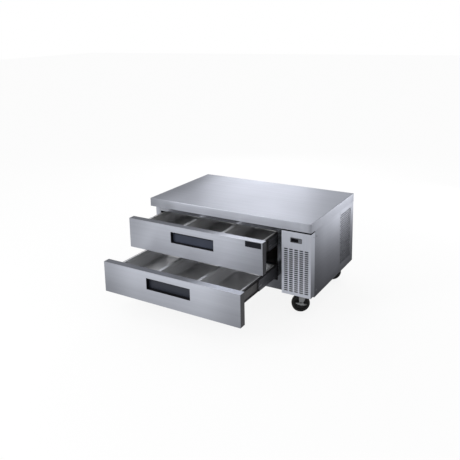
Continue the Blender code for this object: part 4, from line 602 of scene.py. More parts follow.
def sizes(low, high, digits=3):
    """A box's three sizes, rounded for print."""
    return [round(high[k] - low[k], digits) for k in range(3)]


low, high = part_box("worktop")
top = add_piece("worktop_shell", tray(low, high, 2, -1), top_steel, "cabinet", "brushed_steel",
                "worktop")
folded(top, FOLD_RADIUS)
painted(top, edge_steel, lambda face: face.normal.y < -FACING)
painted(top, end_steel, lambda face: abs(face.normal.x) > FACING)

rings = []
for inset in (0, RETURN_WIDTH):
    x0, y0 = [low[k] + SHEET / 2 + inset for k in range(2)]
    x1, y1 = [high[k] - SHEET / 2 - inset for k in range(2)]
    rings.append([(x, y, low[2] + SHEET) for x, y in ((x0, y0), (x1, y0), (x1, y1), (x0, y1))])
# The return is painted black: painted shade for the shadow line under the worktop's edge.
strip = add_piece("worktop_return", skinned(rings, end=False, start=False), filter_and_shade_black, "cabinet",
                  "slide_steel")
thickened(strip, SHEET)
print("worktop", sizes(low, high))

# %% [markdown]
# ## The drawer fronts
# Each front is a tray open at its back, with a window for the recessed pull. Behind it come a
# foam core, which nobody sees, and an inner skin of thin steel, which shows whenever the drawer
# is out. The pull is a moulded pocket with a lip to hook the fingers behind.

# %% The drawer fronts
DRAWERS = ("upper", "lower")
FRONT_RADIUS = 0.0022
WINDOW_GAP, PULL_LIP = 0.0003, 0.013
for drawer in DRAWERS:
    low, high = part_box(f"{drawer}_drawer_front")
    pull_low, pull_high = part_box(f"{drawer}_handle")
    window = ((pull_low[0] - WINDOW_GAP, pull_low[2] - WINDOW_GAP),
              (pull_high[0] + WINDOW_GAP, pull_high[2] - PULL_LIP + WINDOW_GAP))
    shell = add_piece(f"{drawer}_front_shell", tray(low, high, 1, 1, window), front_steel[drawer],
                      f"{drawer}_drawer", "brushed_steel", f"{drawer}_drawer_front")
    folded(shell, FRONT_RADIUS)
    # The top faces take ledge_steel, with its painted reflection.
    painted(shell, ledge_steel, lambda face: face.normal.z > FACING)
    softened(f"{drawer}_handle", 0.0009, black_plastic, "black_plastic", 3)
    softened(f"{drawer}_gasket", 0.0035, gasket_vinyl, "gasket_vinyl", 3)
    print(drawer, "front", sizes(low, high))

# %% [markdown]
# ## Pierced sheets
# The machine bay breathes through the louvred panel at the front and through small round holes
# in the right side panel. A sheet with hundreds of holes is best laid out flat: one cell is made
# for each hole, and cells share the points on their borders. Plain rectangles fill the rest and
# take in every point that already lies on their borders, so the sheet has no cracks.

# %% Pierced sheets
NEAR = 0.000003
FOLDS_ONLY = 80


class FlatSheet:
    """A sheet laid out in flat (u, v) metres, whose points are shared by all its faces."""

    def __init__(self, place):
        self.mesh_data = bmesh.new()
        self.place = place
        self.points = {}

    def point(self, u, v):
        """The one vertex at a spot on the sheet."""
        key = (round(u, 6), round(v, 6))
        if key not in self.points:
            self.points[key] = self.mesh_data.verts.new(self.place(u, v))
        return self.points[key]

    def cell(self, border, hole):
        """A ring of faces between a cell's border and its hole."""
        outer, inner = [[self.point(u, v) for u, v in outline] for outline in (border, hole)]
        band(self.mesh_data, outer, inner)

    def run(self, a, b):
        """The shared points on the straight line between two corners, in order."""
        (ua, va), (ub, vb) = a, b
        line = Vector((ub - ua, vb - va))
        found = []
        for (u, v), vertex in self.points.items():
            offset = Vector((u - ua, v - va))
            distance, travel = offset.cross(line) / line.length, offset.dot(line) / line.length
            if abs(distance) < NEAR and -NEAR < travel < line.length + NEAR:
                found.append((travel, vertex))
        return [vertex for _, vertex in sorted(found, key=lambda item: item[0])]

    def plain(self, rectangles):
        """Plain faces for rectangles, each with every shared point on its border."""
        borders = [((u0, v0), (u1, v0), (u1, v1), (u0, v1)) for u0, v0, u1, v1 in rectangles]
        for border in borders:
            for u, v in border:
                self.point(u, v)
        for border in borders:
            around = []
            for a, b in zip(border, border[1:] + border[:1]):
                around += self.run(a, b)[:-1]
            self.mesh_data.faces.new(around)

    def flange(self, a, b, shift):
        """A strip folded off the straight line between two corners."""
        edge = self.run(a, b)
        far = [self.mesh_data.verts.new(edge[k].co + Vector(shift)) for k in (-1, 0)]
        self.mesh_data.faces.new([*edge, *far])

    def piece(self, name, material, replaced, radius, thickness):
        """The sheet as a piece of the cabinet, rounded along its folds only."""
        bmesh.ops.remove_doubles(self.mesh_data, verts=self.mesh_data.verts, dist=WELD)
        piece = add_piece(name, self.mesh_data, material, "cabinet", "brushed_steel", replaced)
        return folded(piece, radius, thickness, 2, FOLDS_ONLY)


print("pierced sheets ready")

# %% [markdown]
# ### The louvred panel
# A box-shaped cover, open at its back, with five columns of slots with round ends. The controller
# sits in a hole above them. Its side returns stand in line with the side panel and take a finish
# of their own, painted darker towards the bottom as painted shade. Its top fold is painted black as
# painted shade, for the shadow in the gap under the worktop. A slot looks the same after half a
# turn, so only half of its outline is written down.

# %% The louvred panel
LOUVRE_COLUMNS, LOUVRE_ROWS = 5, 21
LOUVRE_PITCH = (0.0378, 0.015)
LOUVRE_SIZE = (0.0285, 0.0084)
LOUVRE_TOP_DROP = 0.1266
SLOT_ROUND, SLOT_CORNER = 0.9, 0.3
CONTROLLER_HOLE_HALF = (0.0386, 0.0148)
GRILLE_RADIUS, GRILLE_SHEET = 0.0015, 0.0012
low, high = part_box("grille_panel")
middle_u = middle((low, high), 0)
controller_z = middle(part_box("controller"), 2)
louvres = FlatSheet(lambda u, v: (u, low[1], v))


def turned_over(half):
    """A half outline and the same turned by half a turn, in order."""
    return half + [(-across, -height) for across, height in half]


def louvre_outlines(u, v):
    """The border of a louvre's cell and the outline of its slot, both of twelve points."""
    a, b = LOUVRE_PITCH[0] / 2, LOUVRE_PITCH[1] / 2
    w, h = LOUVRE_SIZE[0] / 2, LOUVRE_SIZE[1] / 2
    r = h * SLOT_ROUND
    c = r * SLOT_CORNER
    border = [(a, b), (a / 2, b), (0, b), (-a / 2, b), (-a, b), (-a, 0)]
    slot = [(w - c, h - c), (w - r, h), (0, h), (r - w, h), (c - w, h - c), (-w, 0)]
    return [[(u + x, v + z) for x, z in turned_over(half)] for half in (border, slot)]


for column in range(LOUVRE_COLUMNS):
    for row in range(LOUVRE_ROWS):
        louvres.cell(*louvre_outlines(
            middle_u + (column - (LOUVRE_COLUMNS - 1) / 2) * LOUVRE_PITCH[0],
            high[2] - LOUVRE_TOP_DROP - row * LOUVRE_PITCH[1]))
block_half = LOUVRE_COLUMNS * LOUVRE_PITCH[0] / 2
block_u = (middle_u - block_half, middle_u + block_half)
block_top = high[2] - LOUVRE_TOP_DROP + LOUVRE_PITCH[1] / 2
block_bottom = block_top - LOUVRE_ROWS * LOUVRE_PITCH[1]
hole_u, hole_v = [(centre - half, centre + half)
                  for centre, half in zip((middle_u, controller_z), CONTROLLER_HOLE_HALF)]
louvres.plain([
    (low[0], low[2], block_u[0], block_top), (block_u[1], low[2], high[0], block_top),
    (block_u[0], low[2], block_u[1], block_bottom),
    (low[0], block_top, high[0], hole_v[0]), (low[0], hole_v[1], high[0], high[2]),
    (low[0], hole_v[0], hole_u[0], hole_v[1]), (hole_u[1], hole_v[0], high[0], hole_v[1]),
])
corner = [(low[0], low[2]), (high[0], low[2]), (high[0], high[2]), (low[0], high[2])]
for k in range(4):
    louvres.flange(corner[k], corner[(k + 1) % 4], (0, high[1] - low[1], 0))
grille = louvres.piece("louvred_panel", grille_steel, "grille_panel", GRILLE_RADIUS,
                       GRILLE_SHEET)
# The side returns take their own steel, painted darker towards the bottom: painted shade.
painted(grille, return_steel, lambda face: abs(face.normal.x) > FACING)
# The top fold is painted black: painted shade for the shadow in the gap under the worktop.
painted(grille, filter_and_shade_black,
        lambda face: face.normal.z > FACING and face.center.z > high[2] - SHEET)
print("louvres", LOUVRE_COLUMNS * LOUVRE_ROWS)

# %% [markdown]
# The slots look black, because a dark filter stands close behind them. It is a pleated sheet of
# fine mesh that slides in behind the panel, and it catches the dust before the condenser does. A
# second screen inside the slots of the back keeps insects out, and stops the daylight that would
# shine through the side's holes. Pleats are a zigzag along X, so two rows of points with
# alternating depth make them.

# %% The dust filter and the back's screen
PLEAT, PLEAT_DEPTH = 0.003, 0.0035
FILTER_BEHIND, FILTER_GAP, FILTER_RISE = 0.007, 0.0013, 0.004
BACK_SCREEN_HALF, BACK_SCREEN_Z = 0.090, (0.255, 0.530)


def pleated_screen(name, x_range, y, z_range):
    """A pleated black screen that stands across the cabinet at y."""
    mesh_data = bmesh.new()
    pleats = int((x_range[1] - x_range[0]) / PLEAT)
    columns = []
    for k in range(pleats + 1):
        x = x_range[0] + (x_range[1] - x_range[0]) * k / pleats
        columns.append([mesh_data.verts.new((x, y + PLEAT_DEPTH * (k % 2), z)) for z in z_range])
    for first, second in zip(columns, columns[1:]):
        mesh_data.faces.new((first[0], second[0], second[1], first[1]))
    add_piece(name, mesh_data, filter_and_shade_black, "cabinet", "black_plastic")
    return pleats


pleats = pleated_screen("dust_filter", (low[0] + FILTER_GAP, high[0] - FILTER_GAP),
                        low[1] + FILTER_BEHIND, (low[2] + FILTER_GAP, block_top + FILTER_RISE))
back_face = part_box("back_panel")[0][1]
back_u = (middle_u - BACK_SCREEN_HALF, middle_u + BACK_SCREEN_HALF)
pleats += pleated_screen("back_vent_screen", back_u, back_face - 2 * PLEAT_DEPTH, BACK_SCREEN_Z)
print("pleats", pleats)

# %% [markdown]
# ### The right side panel
# The same way gives the side panel its field of small staggered holes. Each row is moved by half
# a pitch, so the points of neighbouring rows still meet, and half cells close the row ends.

# %% The right side panel
HOLE_RADIUS = 0.0066
HOLE_PITCH = 0.0188
ROW_PITCH = 0.0161
HOLE_COLUMNS, HOLE_ROWS = 12, 24
FIELD_FRONT, FIELD_TOP_DROP = 0.540, 0.0300
RETURN, SIDE_RADIUS = 0.014, 0.0012
low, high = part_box("right_side_panel")
front_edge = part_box("worktop")[0][1]
side = FlatSheet(lambda u, v: (high[0], u, v))


def hole_outlines(u, v):
    """The border of a hole's cell and the hole, both of sixteen points."""
    steps = turned_over([(1, 1), (0.5, 1), (0, 1), (-0.5, 1),
                         (-1, 1), (-1, 0.5), (-1, 0), (-1, -0.5)])
    border = [(u + HOLE_PITCH / 2 * x, v + ROW_PITCH / 2 * z) for x, z in steps]
    angles = [math.atan2(z, x) for x, z in steps]
    hole = [(u + HOLE_RADIUS * math.cos(t), v + HOLE_RADIUS * math.sin(t)) for t in angles]
    return border, hole


field_u = (front_edge + FIELD_FRONT, front_edge + FIELD_FRONT + HOLE_COLUMNS * HOLE_PITCH)
field_top = high[2] - FIELD_TOP_DROP
field_bottom = field_top - HOLE_ROWS * ROW_PITCH
half_cells = []
for row in range(HOLE_ROWS):
    v = field_bottom + (row + 0.5) * ROW_PITCH
    moved = row % 2
    for column in range(HOLE_COLUMNS - moved):
        side.cell(*hole_outlines(field_u[0] + (column + 0.5 + moved / 2) * HOLE_PITCH, v))
    if moved:
        for u0 in (field_u[0], field_u[1] - HOLE_PITCH / 2):
            half_cells.append((u0, v - ROW_PITCH / 2, u0 + HOLE_PITCH / 2, v + ROW_PITCH / 2))
side.plain(half_cells + [
    (low[1], low[2], field_u[0], high[2]), (field_u[1], low[2], high[1], high[2]),
    (field_u[0], low[2], field_u[1], field_bottom), (field_u[0], field_top, field_u[1], high[2]),
])
side.flange((low[1], low[2]), (high[1], low[2]), (-RETURN, 0, 0))
side.flange((high[1], low[2]), (high[1], high[2]), (-RETURN, 0, 0))
side.piece("vented_side_panel", side_steel, "right_side_panel", SIDE_RADIUS, SHEET)
print("holes", HOLE_ROWS * HOLE_COLUMNS - HOLE_ROWS // 2)

# %% [markdown]
# The panel is made of two sheets, and their joint shows as a fine upright line before the field of
# holes. A narrow dark bead, a hair proud of the panel, is enough for it.

# %% The panel's joint
JOINT_WIDTH, JOINT_PROUD, JOINT_BEFORE_FIELD = 0.0016, 0.0003, 0.006
joint_y = field_u[0] - JOINT_BEFORE_FIELD
inner_x, outer_x = high[0] - SHEET / 2, high[0] + JOINT_PROUD
section = [(inner_x, joint_y - JOINT_WIDTH), (outer_x, joint_y - JOINT_WIDTH / 2),
           (outer_x, joint_y + JOINT_WIDTH / 2), (inner_x, joint_y + JOINT_WIDTH)]
rings = [[(x, y, z) for x, y in section] for z in (low[2] + SHEET, high[2] - SHEET)]
add_piece("side_panel_joint", skinned(rings), gasket_vinyl, "cabinet", "gasket_vinyl")
print("joint at y", round(joint_y, 4))

# %% [markdown]
# ## The pans
# Each drawer holds three deep-drawn pans. A pan hangs by a crowned rim, its wall has a shoulder
# that stops stacked pans from jamming, and a wide radius joins the wall to the floor. One
# rounded rectangle is repeated at every step of that profile, and neighbouring outlines are
# joined into a skin. A Solidify modifier then gives the skin the thickness of the steel.
#
# The profile below lists, from the rim's edge to the middle of the floor, how far each outline
# lies inside the edge, its height above the deck that carries the rim, and its corner radius.

# %% The pans
PAN_SHEET = 0.0008
PAN_PROFILE = [
    (0.0003, 0.0000, 0.0170), (0.0006, 0.0016, 0.0172), (0.0016, 0.0026, 0.0180),
    (0.0032, 0.0030, 0.0200), (0.0082, 0.0030, 0.0330), (0.0102, 0.0024, 0.0400),
    (0.0112, 0.0010, 0.0440), (0.0116, -0.0040, 0.0450), (0.0124, -0.0180, 0.0445),
    (0.0132, -0.0196, 0.0440), (0.0146, -0.0212, 0.0430), (0.0150, -0.0240, 0.0425),
    (0.0204, -0.0850, 0.0370), (0.0222, -0.0918, 0.0350), (0.0262, -0.0968, 0.0310),
    (0.0330, -0.0988, 0.0250), (0.0600, -0.0984, 0.0200),
]
PAN_CORNER_STEPS = 8


def stacked(low, high, levels, place, steps=6):
    """Rings with rounded corners, one for each inset, level and corner radius."""
    rings = []
    for inset, level, radius in levels:
        u0, v0 = low[0] + inset + radius, low[1] + inset + radius
        u1, v1 = high[0] - inset - radius, high[1] - inset - radius
        ring = []
        for number, (u, v) in enumerate(((u1, v1), (u0, v1), (u0, v0), (u1, v0))):
            for k in range(steps + 1):
                angle = math.radians(90 * (number + k / steps))
                across, along = radius * math.cos(angle), radius * math.sin(angle)
                ring.append(place(u + across, v + along, level))
        rings.append(ring)
    return rings


pan_nodes = [f"{drawer}_pan_{place}" for drawer in DRAWERS for place in ("left", "middle", "right")]
for node in pan_nodes:
    low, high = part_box(node)
    deck = high[2] - PAN_SHEET
    rings = stacked(low, high, PAN_PROFILE, lambda x, y, height: (x, y, deck + height),
                    PAN_CORNER_STEPS)
    pan = add_piece(f"{node}_drawn", skinned(rings, start=False), pan_steel, body_of_node(node),
                    "pan_steel", node)
    pan.data.shade_smooth()
    thickened(pan, PAN_SHEET)
print("pans", len(pan_nodes), "of", sizes(low, high, 4))

# %% [markdown]
# ## Frame, liners and slides
# The drawers' frames, the outer slides and the cabinet's front frame are folded or welded from
# sheet. Their solids are right, so each gets soft edges. The front's core shows its inner liner to
# the back, a thin steel skin, so the copy of the core wears steel.

# %% Frame, liners and slides
SIDES = ("left", "right")
for drawer in DRAWERS:
    softened(f"{drawer}_front_core", 0.004, liner_steel, "liner_steel", 3, f"{drawer}_front_liner")
    softened(f"{drawer}_drawer_frame", 0.0004, deck_coat, "slide_steel")
    for side in SIDES:
        softened(f"{drawer}_slide_outer_{side}", 0.0003, slide_coat, "slide_steel")
softened("front_frame", 0.0010, frame_steel, "brushed_steel")
softened("left_side_panel", 0.0010, side_steel, "brushed_steel")
print("softened frames and outer slides")

# %% [markdown]
# ### The slides' middle channels
# A telescopic slide is rolled from strip. The middle channel's web is stepped inwards along its
# length, which stiffens it and leaves a bright sloping race on either side for the balls. One
# outline of sixteen points, half of them mirrored, is drawn along Y, and its slopes get zinc.
# A small lever in the step, near the front end, holds the drawer at the end of its travel.

# %% The slides' middle channels
STEP_DEPTH, STEP_HALF, STEP_SLOPE = 0.0040, 0.0260, 0.0040
CHANNEL_SHEET, CHANNEL_RADIUS, SLOPING = 0.0012, 0.0003, 0.5
LATCH_LENGTH, LATCH_HALF, LATCH_THICK = 0.036, 0.0038, 0.0022
LATCH_FROM_END, LATCH_DROP, LATCH_RADIUS = 0.006, 0.006, 0.003
LATCH_LEVELS = ((0, 0.0001, LATCH_RADIUS), (0, LATCH_THICK * 0.8, LATCH_RADIUS),
                (0.0004, LATCH_THICK, LATCH_RADIUS))


def mirrored(half):
    """A half outline and its mirror image in height, in order."""
    return half + [(across, -height) for across, height in half[::-1]]


def channel_outline(depth, half_height):
    """A stepped channel's section: distances in from the wall side, and heights from its middle."""
    t, s = CHANNEL_SHEET, STEP_DEPTH
    flat, inner = STEP_HALF, STEP_HALF - STEP_SLOPE
    wall_side = [(depth, -half_height), (0, -half_height), (0, -flat), (s, -inner)]
    drawer_side = [(depth, half_height - t), (t, half_height - t), (t, flat), (s + t, inner)]
    return mirrored(wall_side) + mirrored(drawer_side)


channels = [(drawer, side) for drawer in DRAWERS for side in SIDES]
for drawer, side in channels:
    node = f"{drawer}_slide_middle_{side}"
    low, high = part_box(node)
    wall_x, sign = (low[0], 1) if side == "left" else (high[0], -1)
    middle_z = middle((low, high), 2)
    section = channel_outline(high[0] - low[0], (high[2] - low[2]) / 2)
    rings = [[(wall_x + sign * depth, y, middle_z + height) for depth, height in section]
             for y in (low[1], high[1])]
    channel = add_piece(f"{node}_rolled", skinned(rings), slide_coat, body_of_node(node),
                        "slide_steel", node)
    painted(channel, zinc,
            lambda face: abs(face.normal.x) > SLOPING and abs(face.normal.z) > SLOPING)
    rounded_edges(channel, CHANNEL_RADIUS)
    latch_y, latch_z = low[1] + LATCH_FROM_END, middle_z - LATCH_DROP
    rings = stacked((latch_y, latch_z - LATCH_HALF), (latch_y + LATCH_LENGTH, latch_z + LATCH_HALF),
                    LATCH_LEVELS, lambda y, z, rise: (wall_x + sign * (STEP_DEPTH - rise), y, z))
    add_piece(f"{drawer}_slide_latch_{side}", skinned(rings), zinc, body_of_node(node),
              "zinc_steel")
print("rolled channels", len(channels))

# %% [markdown]
# ## Casters
# A caster wheel is turned: its section is spun round the axle. The section has rounded tread
# shoulders, a bead beside the tyre and a recessed web, and short ribs stiffen the web, as in a
# moulded wheel. It is made lying flat, then stood on the place and direction of the axle, which
# come from the frame's own joints.

# %% The wheels
CASTERS = ("front_left", "front_right", "rear_left", "rear_right")
WHEEL_SECTION = mirrored([
    (0.0066, -0.0178), (0.0165, -0.0178), (0.0178, -0.0168), (0.0184, -0.0085), (0.0205, -0.0062),
    (0.0425, -0.0062), (0.0448, -0.0078), (0.0456, -0.0135), (0.0470, -0.0156), (0.0490, -0.0160),
    (0.0505, -0.0150), (0.0520, -0.0150), (0.0535, -0.0160), (0.0590, -0.0158), (0.0618, -0.0142),
    (0.0632, -0.0112), (0.0635, -0.0075),
])
SPIN_STEPS, WHEEL_RIBS = 72, 8
RIB_RADII, RIB_DEPTHS = (0.0175, 0.0455), (0.005, 0.0105)
RIB_HALF, RIB_TAPER = 0.0016, 0.6
TREAD_RADIUS, TREAD_ANGLE = 0.0005, 50
wheel_joints = {joint["child"]: joint for joint in frame["joints"]
                if joint["child"].endswith("_wheel")}


def circle(radius, height, sides):
    """Points round the Z axis."""
    angles = [2 * math.pi * k / sides for k in range(sides)]
    return [Vector((radius * math.cos(angle), radius * math.sin(angle), height))
            for angle in angles]


def standing(place, facing):
    """The transform that moves the origin to a place and turns Z towards facing."""
    turn = Vector((0, 0, 1)).rotation_difference(Vector(facing)).to_matrix().to_4x4()
    return Matrix.Translation(Vector(place)) @ turn


def wheel_mesh(place, axis):
    """A turned wheel with ribs, round an axis through a place."""
    mesh_data = bmesh.new()
    rings = [circle(radius, distance, SPIN_STEPS) for radius, distance in WHEEL_SECTION]
    loops = skin(mesh_data, rings, end=False, start=False)
    band(mesh_data, loops[-1], loops[0])
    for number in range(WHEEL_RIBS):
        turn = Matrix.Rotation(2 * math.pi * number / WHEEL_RIBS, 4, "Z")
        for side in (-1, 1):
            for vertex in bmesh.ops.create_cube(mesh_data, size=1)["verts"]:
                outer = vertex.co.z * side > 0
                half = RIB_HALF * RIB_TAPER if outer else RIB_HALF
                vertex.co = turn @ Vector((RIB_RADII[vertex.co.x > 0],
                                           half if vertex.co.y > 0 else -half,
                                           side * RIB_DEPTHS[outer]))
    mesh_data.transform(standing(place, axis))
    return mesh_data


for caster in CASTERS:
    joint = wheel_joints[f"caster_{caster}_wheel"]
    wheel = add_piece(f"caster_{caster}_wheel_turned", wheel_mesh(joint["pos_m"], joint["axis"]),
                      tyre_rubber, joint["child"], "tread_rubber", f"caster_wheel_{caster}")
    rounded_edges(wheel, TREAD_RADIUS, angle=TREAD_ANGLE)
print("wheels turned", len(wheel_joints))

# %% [markdown]
# The forks, plates and brake levers are pressed from plated sheet, and their solids only need
# soft edges.

# %% Forks, plates, brakes
for caster in CASTERS:
    softened(f"caster_fork_{caster}", 0.0008, zinc, "zinc_steel", 3)
    softened(f"caster_plate_{caster}", 0.0005, zinc, "zinc_steel")
    if caster.startswith("front"):
        softened(f"caster_brake_{caster}", 0.0006, zinc, "zinc_steel", 3)
print("forks, plates and brakes softened")

# %% [markdown]
# ## The controller
# The temperature controller is a moulded bezel with a dark window at its left and two keys at its
# right. The window is a thin plate in the bezel's recess. Each key carries a raised triangle,
# one up and one down, as such keys do.

# %% The controller
WINDOW_LOW, WINDOW_HIGH = (0.52025, 0.5380), (0.57225, 0.5620)
WINDOW_SINK, WINDOW_RADIUS, WINDOW_LIP = 0.0006, 0.0015, 0.0002
MARK_HALF, MARK_FOOT, MARK_PROUD = 0.0022, 0.8, 0.00025
OVERLAP, PLATE_CORNER_STEPS = 0.0001, 5


def rounded_plate(low, high, radius, front, back, lip):
    """A plate with rounded corners that faces -Y, its front edge eased by the lip."""
    levels = ((0, back, radius), (0, front + lip, radius), (lip, front, radius - lip))
    return skinned(stacked(low, high, levels, lambda x, z, y: (x, y, z), PLATE_CORNER_STEPS))


def triangle_mark(x, z, direction, front, back):
    """A small raised triangle that points up or down."""
    foot = z - direction * MARK_HALF * MARK_FOOT
    corners = [(x - MARK_HALF, foot), (x + MARK_HALF, foot), (x, z + direction * MARK_HALF)]
    return skinned([[(u, y, v) for u, v in corners] for y in (back, front)])


bezel_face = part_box("controller")[0][1]
softened("controller", 0.0007, bezel_plastic, "black_plastic", 3)
glass = rounded_plate([edge + WINDOW_GAP for edge in WINDOW_LOW],
                      [edge - WINDOW_GAP for edge in WINDOW_HIGH], WINDOW_RADIUS,
                      bezel_face + OVERLAP, bezel_face + WINDOW_SINK, WINDOW_LIP)
add_piece("controller_window", glass, window_glass, "cabinet", "black_plastic")
for key, direction in (("key_up", 1), ("key_down", -1)):
    softened(key, 0.0009, key_plastic, "grey_plastic", 4)
    key_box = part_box(key)
    key_face = key_box[0][1]
    mark = triangle_mark(middle(key_box, 0), middle(key_box, 2), direction,
                         key_face - MARK_PROUD, key_face + OVERLAP)
    add_piece(f"{key}_mark", mark, black_plastic, body_of_node(key), "black_plastic")
print("controller face", round(bezel_face, 4))

# %% [markdown]
# ## Trim on the drawer fronts
# The pull's pocket has a smooth slate inlay on its back wall. The inlay is painted nearly black
# under the lip as painted shade, and the lower drawer's inlay is a darker copy, also painted shade.
# Both ends of a front carry a thin dark strip, which stands in for the dark reflection of the
# ends: painted reflection. A blank plate sits in the upper right corner of the upper front.

# %% Trim on the drawer fronts
INLAY_TONES = ((0.040, 0.048, 0.074), (0.050, 0.060, 0.090))
# Painted shade: the inlay darkens to nearly black under the lip, and the lower drawer's copy is darker all over.
INLAY_SHADE_SHARES = {"upper": 1.0, "lower": 0.45}
INLAY_PAINTED_SHADE = ((0.022, 0.9), (0.008, 0.12), (0, 0.1))
PULL_WALL, INLAY_DROP, INLAY_RADIUS = 0.0027, 0.016, 0.002
INLAY_PROUD, INLAY_SUNK, PLATE_LIP = 0.0008, 0.0004, 0.0004
# The dark strips on a front's ends are painted reflection: dark plastic where the steel ends would mirror dark
# surroundings.
END_STRIP_THICK, END_STRIP_RADIUS = 0.0005, 0.0015
END_STRIP_LEVELS = ((0, -OVERLAP, END_STRIP_RADIUS), (0, END_STRIP_THICK * 0.6, END_STRIP_RADIUS),
                (0.0003, END_STRIP_THICK, END_STRIP_RADIUS))
END_STRIP_BEHIND_FACE, END_STRIP_BEFORE_BACK, END_STRIP_FROM_END = 0.0025, 0.0002, 0.0022
for drawer in DRAWERS:
    body = f"{drawer}_drawer"
    low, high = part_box(f"{drawer}_drawer_front")
    pull_low, pull_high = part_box(f"{drawer}_handle")
    back_wall = pull_high[1] - PULL_WALL
    inlay_top = pull_high[2] - INLAY_DROP
    stops = [(pull_low[2], 1.0)] + [(inlay_top - drop, share) for drop, share in INLAY_PAINTED_SHADE]
    tones = [tuple(part * INLAY_SHADE_SHARES[drawer] for part in tone) for tone in INLAY_TONES]
    inlay_plastic = coated_finish(f"{drawer}_inlay_plastic", *tones, (0.40, 0.55), 0.0002, 0.3,
                                  [("Z", stops)])
    inlay = rounded_plate((pull_low[0] + PULL_WALL, pull_low[2] + PULL_WALL),
                          (pull_high[0] - PULL_WALL, inlay_top), INLAY_RADIUS,
                          back_wall - INLAY_PROUD, back_wall + INLAY_SUNK, PLATE_LIP)
    add_piece(f"{drawer}_pull_inlay", inlay, inlay_plastic, body, "black_plastic")
    end_strips_mesh = bmesh.new()
    for x, out in ((low[0], -1), (high[0], 1)):
        skin(end_strips_mesh, stacked((low[1] + END_STRIP_BEHIND_FACE, low[2] + END_STRIP_FROM_END),
                             (high[1] - END_STRIP_BEFORE_BACK, high[2] - END_STRIP_FROM_END),
                             END_STRIP_LEVELS, lambda y, z, reach: (x + out * reach, y, z)))
    add_piece(f"{drawer}_dark_end_strips", end_strips_mesh, dark_end_reflection_coat, body, "black_plastic")

PLATE_FROM_END, PLATE_FROM_TOP = (0.1265, 0.0085), (0.043, 0.003)
PLATE_RADIUS, PLATE_PROUD = 0.004, 0.0009
low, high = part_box("upper_drawer_front")
plate = rounded_plate(*[(high[0] - end, high[2] - drop)
                        for end, drop in zip(PLATE_FROM_END, PLATE_FROM_TOP)],
                      PLATE_RADIUS, low[1] - PLATE_PROUD, low[1] + OVERLAP, PLATE_LIP)
add_piece("blank_plate", plate, plate_skin, "upper_drawer", "black_plastic")
print("edge guards and inlays ready")

# %% [markdown]
# ## Screws
# Fasteners tell the size of a machine. Each screw is a low dome with a round socket, spun from a
# short profile, and all screws of the cabinet share one mesh.

# %% Screws
SCREW_PROFILE = [(0.0046, 0.0), (0.0045, 0.0007), (0.0038, 0.0016), (0.0026, 0.0022),
                 (0.0017, 0.0024), (0.0016, 0.0008)]
SCREW_SIDES = 16
SIDE_FRONT, SIDE_DROP, SIDE_RISE, SIDE_PLACES = 0.0265, 0.046, 0.045, (0.22, 0.44, 0.66)
BACK_MARGIN, BACK_SHARES = 0.012, (0.02, 0.26, 0.5, 0.74, 0.98)
GRILLE_MARGIN, GRILLE_BEHIND, GRILLE_SCREW_SIZE = 0.03, 0.045, 0.8


def screw(mesh_data, place, facing, size=1.0):
    """A domed screw head at a place, looking along facing."""
    stand = standing(place, facing)
    rings = [[stand @ point for point in circle(radius * size, height * size, SCREW_SIDES)]
             for radius, height in SCREW_PROFILE]
    skin(mesh_data, rings, start=False)


side_low, side_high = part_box("right_side_panel")
left_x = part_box("left_side_panel")[0][0]
back_low, back_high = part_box("back_panel")
grille_low, grille_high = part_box("grille_panel")
front_y = side_low[1] + SIDE_FRONT
screws = []
for z in (side_high[2] - SIDE_DROP, side_low[2] + SIDE_RISE):
    screws.append(((side_high[0], front_y, z), (1, 0, 0)))
    screws += [((left_x, y, z), (-1, 0, 0)) for y in (front_y, *SIDE_PLACES)]
for z in (back_high[2] - BACK_MARGIN, back_low[2] + BACK_MARGIN):
    screws += [((back_low[0] + (back_high[0] - back_low[0]) * share, back_high[1], z), (0, 1, 0))
               for share in BACK_SHARES]
for z in (grille_low[2] + GRILLE_MARGIN, grille_high[2] - GRILLE_MARGIN):
    place = (grille_high[0], grille_low[1] + GRILLE_BEHIND, z)
    screws.append((place, (1, 0, 0), GRILLE_SCREW_SIZE))
heads = bmesh.new()
for place_and_facing in screws:
    screw(heads, *place_and_facing)
add_piece("cabinet_screws", heads, zinc, "cabinet", "zinc_steel").data.shade_smooth()
print("screws", len(screws))

# %% [markdown]
# ## Floor and light
# The cabinet stands in a white room. The floor is wide and pale and keeps the shadow. A large
# soft lamp stands at the front left, a second one behind the cabinet draws the bright band on the
# worktop, and the world fills in. What the camera and the mirrors see of the world is white.

# %% Floor
FLOOR_HALF = 30
WHITE_SHARE = 0.86


def white_ray(tree):
    """One for the rays of camera, mirror and glass, and zero for the rest."""
    path = add_node(tree, "LightPath")
    seen = path.outputs["Is Camera Ray"]
    for other in ("Is Glossy Ray", "Is Transmission Ray"):
        either = add_node(tree, "Math", links={0: seen, 1: path.outputs[other]})
        either.operation = "MAXIMUM"
        seen = either.outputs[0]
    return seen


def switched(tree, share, first, second, output):
    """Mixes two shaders by a share and links them to the output."""
    mix = add_node(tree, "MixShader", links={"Fac": share, 1: first, 2: second})
    tree.links.new(mix.outputs["Shader"], tree.nodes[output].inputs["Surface"])


floor_material, tree, shader = finish_material("pale_floor", (0.97, 0.97, 0.97), 0.9)
share = add_node(tree, "Math", {1: WHITE_SHARE}, {0: white_ray(tree)})
share.operation = "MULTIPLY"
white = add_node(tree, "Emission")
switched(tree, share.outputs[0], shader.outputs["BSDF"], white.outputs["Emission"],
         "Material Output")

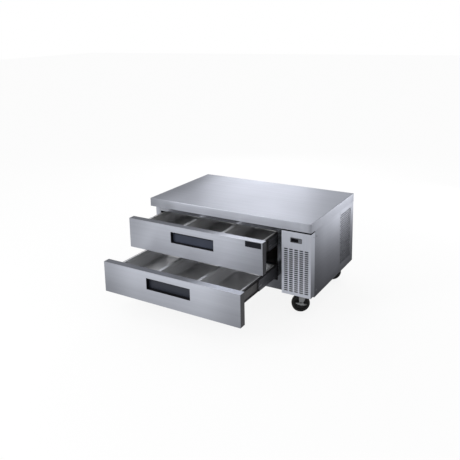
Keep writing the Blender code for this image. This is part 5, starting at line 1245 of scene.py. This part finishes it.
floor_mesh = bpy.data.meshes.new("floor")
corners = [(-FLOOR_HALF, -FLOOR_HALF, 0), (FLOOR_HALF, -FLOOR_HALF, 0),
           (FLOOR_HALF, FLOOR_HALF, 0), (-FLOOR_HALF, FLOOR_HALF, 0)]
floor_mesh.from_pydata(corners, [], [(0, 1, 2, 3)])
floor_mesh.materials.append(floor_material)
floor = bpy.data.objects.new("floor", floor_mesh)
bpy.context.collection.objects.link(floor)
print("floor", 2 * FLOOR_HALF, "m wide")

# %% [markdown]
# The world has two backgrounds behind one switch: the fill light that falls on the object, and
# plain white for the rays of camera, mirror and glass.

# %% World
FILL_STRENGTH = 0.8
world = bpy.data.worlds.new("white_room")
bpy.context.scene.world = world
world.use_nodes = True
tree = world.node_tree
fill = tree.nodes["Background"]
plain = add_node(tree, "Background")
for background, strength in ((fill, FILL_STRENGTH), (plain, 1.0)):
    background.inputs["Color"].default_value = (1, 1, 1, 1)
    background.inputs["Strength"].default_value = strength
switched(tree, white_ray(tree), fill.outputs["Background"], plain.outputs["Background"],
         "World Output")
bpy.context.scene.view_settings.view_transform = "Standard"
print("world ready")

# %% [markdown]
# Three soft lamps. The key lamp stands at the front left, where the drawer fronts mirror it
# towards the camera. The rim lamp stands behind the cabinet and draws the bright band on the
# worktop. A small lamp stands low behind the right side and lights the side panel's upper part.
# Each lamp has its place, the point it looks at, its size and its power.

# %% Lamps
MIDDLE = (0, 0.1, 0.4)
LAMPS = {
    "key_lamp": ((-2.4, -4.0, 2.6), MIDDLE, (1.8, 1.8), 70),
    "rim_lamp": ((-1.82, 3.75, 1.95), MIDDLE, (1.7, 1.1), 27),
    "right_lamp": ((1.74, 3.5, 0.36), (0.66, 0.3, 0.55), (0.9, 0.6), 21),
}
for name, (place, aim, size, power) in LAMPS.items():
    lamp = bpy.data.objects.new(name, bpy.data.lights.new(name, "AREA"))
    lamp.data.shape = "ELLIPSE"
    lamp.data.size, lamp.data.size_y = size
    lamp.data.energy = power
    lamp.location = place
    lamp.rotation_euler = (Vector(aim) - Vector(place)).to_track_quat("-Z", "Y").to_euler()
    lamp.visible_camera = False
    bpy.context.collection.objects.link(lamp)
print("lamps", list(LAMPS))
